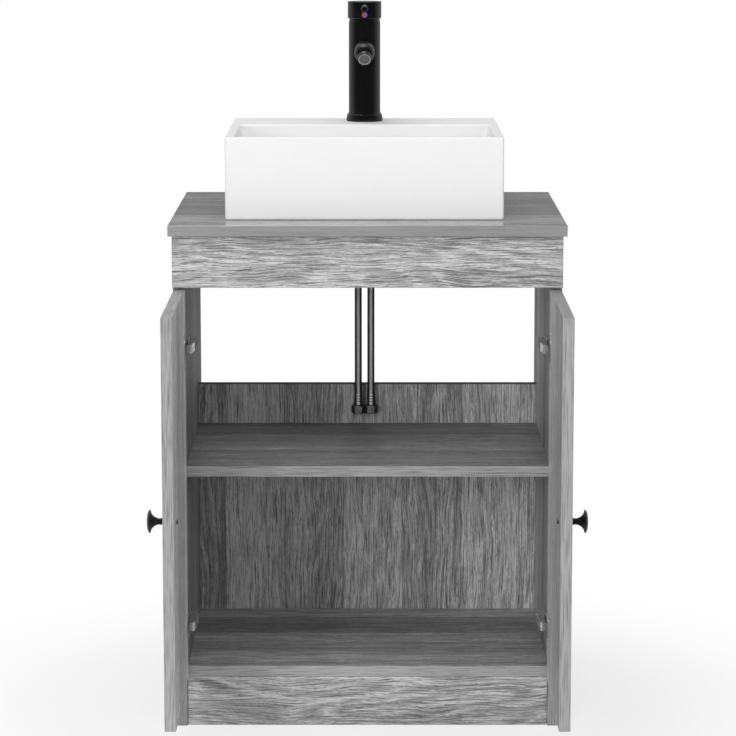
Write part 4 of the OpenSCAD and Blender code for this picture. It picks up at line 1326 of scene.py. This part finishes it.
@dataclass
class Hoses(Assembly):
    """The two braided supply hoses that hang from the tap."""

    diameter: float = 11.3
    ferrule_r: float = 6.3
    crimp_half: float = 1.7
    crimp_deep: float = 0.45
    shoulder_up: float = 20.0
    spigot_r: float = 5.0
    seat_r: float = 6.9
    seat_thick: float = 1.9
    neck_r: float = 4.5
    nut_flats: float = 19.0
    nut_deep: float = 9.0
    nut_bevel: float = 1.0
    nut_gap: float = 0.3
    neck_bore: float = 4.7
    thread_bore: float = 7.3
    heights: tuple[float, ...] = (858, *range(830, 469, -30), 446)

    def build(self) -> None:
        """Hangs both hoses, each with its crimped ends and its nut."""
        foot, top = (corner.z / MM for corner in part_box("hose_ferrules"))
        nut_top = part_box("hose_nuts")[1].z / MM + self.nut_gap
        high, low = self.heights[0], self.heights[-1]
        neck = foot + self.seat_thick
        lower = [
            (0, foot, 0),
            (self.seat_r, foot, 0.4),
            (self.seat_r, neck, 0.3),
            (self.neck_r, neck, 0.1),
            (self.neck_r, nut_top, 0.1),
            *self.crimped(nut_top, low),
            (0, low, 0),
        ]
        shoulder = high + self.shoulder_up
        upper = [
            (0, high, 0),
            *self.crimped(high, shoulder),
            (self.spigot_r, shoulder, 0.2),
            (self.spigot_r, top, 0.5),
            (0, top, 0),
        ]
        for name, stands_for in (("hot", ("hose_ferrules", "hose_nuts")), ("cold", ())):
            place = floor_place(f"{name}_hose")
            ferrules = [
                self.piece(
                    f"{name}_{end}_ferrule",
                    lathe(soften(corners, 3), SMALL_ROUND),
                    CRIMPED_STEEL,
                    "zinc_plate",
                    place,
                    nodes,
                )
                for end, corners, nodes in (("lower", lower, stands_for[:1]), ("upper", upper, ()))
            ]
            nut = self.nut(name, place, stands_for[1:])
            self.hose(f"{name}_hose", [*reversed(ferrules), nut])

    def crimped(self, low: float, high: float) -> list[Triple]:
        """Makes the corners of a ferrule with three crimp grooves.

        Args:
            low: Its lower end.
            high: Its upper end.

        Returns:
            Corners (radius, height, rounding), from the bottom up.
        """
        radius, half = self.ferrule_r, self.crimp_half
        corners = [(radius, low, 0.5)]
        for share in (0.28, 0.5, 0.72):
            z = low + (high - low) * share
            groove = (radius - self.crimp_deep, z, 1.2)
            corners += [(radius, z - half, 0.5), groove, (radius, z + half, 0.5)]
        return [*corners, (radius, high, 0.5)]

    def nut(self, name: str, place: Matrix, nodes: Sequence[str]) -> Object:
        """Makes the hexagon nut with bevelled corners and its bore.

        Args:
            name: Which hose.
            place: The hose's axis.
            nodes: The CAD nodes that it stands for.

        Returns:
            The piece.
        """
        low, high = (corner.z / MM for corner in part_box("hose_nuts"))
        flat, bevel, seat = self.nut_flats / 2, self.nut_bevel, low + self.nut_deep
        corner = flat / math.cos(math.radians(30))
        outside = (
            (low, flat * 0.99),
            (low + bevel, corner),
            (high - bevel, corner),
            (high, flat * 0.99),
        )
        bore = (
            (high, self.neck_bore),
            (seat, self.neck_bore),
            (seat, self.thread_bore),
            (low + 0.6, self.thread_bore + 0.2),
            (low, self.thread_bore + 0.7),
        )
        loops = [self.six_sided(flat, limit, z) for z, limit in outside]
        loops += [self.six_sided(radius, radius, z) for z, radius in bore]
        bm = skin(loops, True)
        return self.piece(
            f"{name}_swivel_nut", bm, NUT_STEEL, "zinc_plate", place, nodes, crease=20.0
        )

    @staticmethod
    def six_sided(flat: float, limit: float, z: float) -> list[Vector]:
        """Returns a hexagon loop of half a width over flats, with its corners cut to a limit."""
        turns = {step: flat / math.cos(math.radians(step % 60 - 30)) for step in range(0, 360, 5)}
        return [around(0, 0, min(r, limit), math.radians(step), z) for step, r in turns.items()]

    def hose(self, node: str, pieces: Sequence[Object]) -> None:
        """Hangs one hose straight down from the tap.

        Args:
            node: The CAD node that it stands for.
            pieces: The ferrules and the nut on it. They are not used.
        """
        axis = middle(node)
        points = [Vector((axis.x, axis.y, z * MM)) for z in self.heights]
        curve = bpy.data.curves.new(f"{node}_braided", "CURVE")
        curve.dimensions = "3D"
        curve.bevel_depth = self.diameter / 2 * MM
        curve.bevel_resolution = 8
        curve.use_fill_caps = True
        spline = curve.splines.new("POLY")
        spline.points.add(len(points) - 1)
        for target, point in zip(spline.points, points):
            target.co = (*point, 1.0)
        curve.materials.append(Braid(f"steel braid {node}", (axis.x, axis.y, 0.0)).material())
        hose = stand(curve.name, curve)
        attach(hose, self.body)
        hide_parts(node)
        LOG.info("%s: a hose of %.3f m", hose.name, (points[0] - points[-1]).length)


@dataclass
class Studio:
    """Camera, floor and light. Places are in metres. A lamp has a name, place, size and watts."""

    camera_at: Triple = (0.0007, -4.273, 1.2561)
    tilt: float = 8.525
    lens: float = 141.97
    sensor: float = 36.0
    shift: float = -0.0759
    view_end: float = 60.0
    floor_reach: float = 7.0
    floor_drop: float = 0.0002
    floor_tone: float = 0.93
    aim: Triple = (0.0, 0.0, 0.5)
    lamps_at: tuple[tuple[str, Triple, float, float], ...] = (
        ("main lamp", (-1.9, -3.9, 1.35), 1.6, 70.0),
        ("side lamp", (2.6, -3.0, 1.9), 2.2, 29.0),
        ("top lamp", (-0.3, 0.5, 3.4), 2.0, 46.0),
    )

    def camera(self) -> None:
        """Sets the camera at the photograph's viewpoint."""
        data = bpy.data.cameras.new("camera")
        data.lens, data.sensor_width = self.lens, self.sensor
        data.shift_y = self.shift
        data.clip_end = self.view_end
        camera = stand("camera", data)
        camera.location = self.camera_at
        camera.rotation_euler = (math.radians(90 - self.tilt), 0, 0)
        bpy.context.scene.camera = camera

    def floor(self) -> None:
        """Lays a pale floor that keeps the shadow and turns white further out."""
        bm = bmesh.new()
        bmesh.ops.create_circle(bm, cap_ends=True, segments=ROUND, radius=self.floor_reach)
        mesh = to_mesh("floor", bm)
        material = bpy.data.materials.new("pale floor")
        g = Graph.empty(material)
        x, y, _ = g.split(g.add("ShaderNodeTexCoord").outputs["Object"])
        reach = g.calc("SQRT", g.total(g.times(x, x), g.times(y, y)))
        matt = g.add("ShaderNodeBsdfDiffuse", {"Color": rgba(grey(self.floor_tone))})
        white = g.add("ShaderNodeEmission", {"Color": rgba(grey(1.0)), "Strength": 1.0})
        rays = g.add("ShaderNodeLightPath").outputs
        seen = g.calc("MAXIMUM", rays["Is Camera Ray"], rays["Is Glossy Ray"])
        seen = g.calc("MAXIMUM", seen, rays["Is Transmission Ray"])
        share = g.times(g.span(reach, 0.35, 0.9, (0.7, 1.0)), seen)
        surface = g.layer(share, matt.outputs[0], white.outputs[0])
        g.add("ShaderNodeOutputMaterial", {"Surface": surface})
        mesh.materials.append(material)
        floor = stand("floor", mesh)
        floor.location = (0, 0, -self.floor_drop)
        floor.visible_glossy = False

    def world(self) -> None:
        """Makes the white surroundings: soft light, white where seen, a bright rim for gloss."""
        world = bpy.data.worlds.new("studio")
        g = Graph.empty(world)
        x, y, z = g.split(g.add("ShaderNodeTexCoord").outputs["Generated"])
        rays = g.add("ShaderNodeLightPath").outputs
        aside = g.times(g.span(g.calc("ABSOLUTE", x), 0.1, 0.55), g.span(y, -0.45, 0.3))
        low = g.times(g.span(z, 0.01, 0.09), g.span(z, 0.12, 0.3, (0.33, 1.0)))
        behind = g.times(g.span(y, 0.3, 0.9), low)
        sheen = g.span(g.calc("MAXIMUM", aside, behind), 0.0, 1.0, (0.045, 0.75))
        soft = g.span(y, -0.7, 0.5, (0.7, 0.07))
        dome, gloss, white = (
            g.add("ShaderNodeBackground", {"Color": rgba(grey(1.0)), "Strength": level}).outputs[0]
            for level in (soft, sheen, 1.0)
        )
        seen = g.calc("MAXIMUM", rays["Is Camera Ray"], rays["Is Transmission Ray"])
        lit = g.layer(rays["Is Glossy Ray"], dome, gloss)
        g.add("ShaderNodeOutputWorld", {"Surface": g.layer(seen, lit, white)})
        bpy.context.scene.world = world

    def lamps(self) -> None:
        """Hangs the soft lamps: the main one from the front left, weaker ones right and above."""
        for name, place, size, watts in self.lamps_at:
            data = bpy.data.lights.new(name, "AREA")
            data.shape, data.size, data.energy = "SQUARE", size, watts
            lamp = stand(name, data)
            lamp.location = place
            way = Vector(self.aim) - Vector(place)
            lamp.rotation_euler = way.to_track_quat("-Z", "Y").to_euler()
            lamp.visible_glossy = name == "top lamp"

    def build(self) -> None:
        """Lays the floor and lights the scene."""
        self.floor()
        self.world()
        self.lamps()
        bpy.context.scene.view_settings.view_transform = "Standard"


def main() -> None:
    """Builds the studio and every assembly."""
    logging.basicConfig(level=logging.INFO, format="%(name)s: %(message)s")
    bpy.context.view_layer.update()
    studio = Studio()
    studio.camera()
    for assembly in (
        Hoses(),
        Carcass(),
        # The doors' tones paint in light: the left door's shaded inner face is made lighter.
        Door("left_door_leaf", "left", 57.9, 1.17),
        Door("right_door_leaf", "right", 63.2, 1.03),
        Basin(),
        Tap(),
    ):
        assembly.build()
    Assembly().coat(ZINC, "plate_screws", "arm_screws")
    studio.build()


if __name__ == "__main__":
    main()
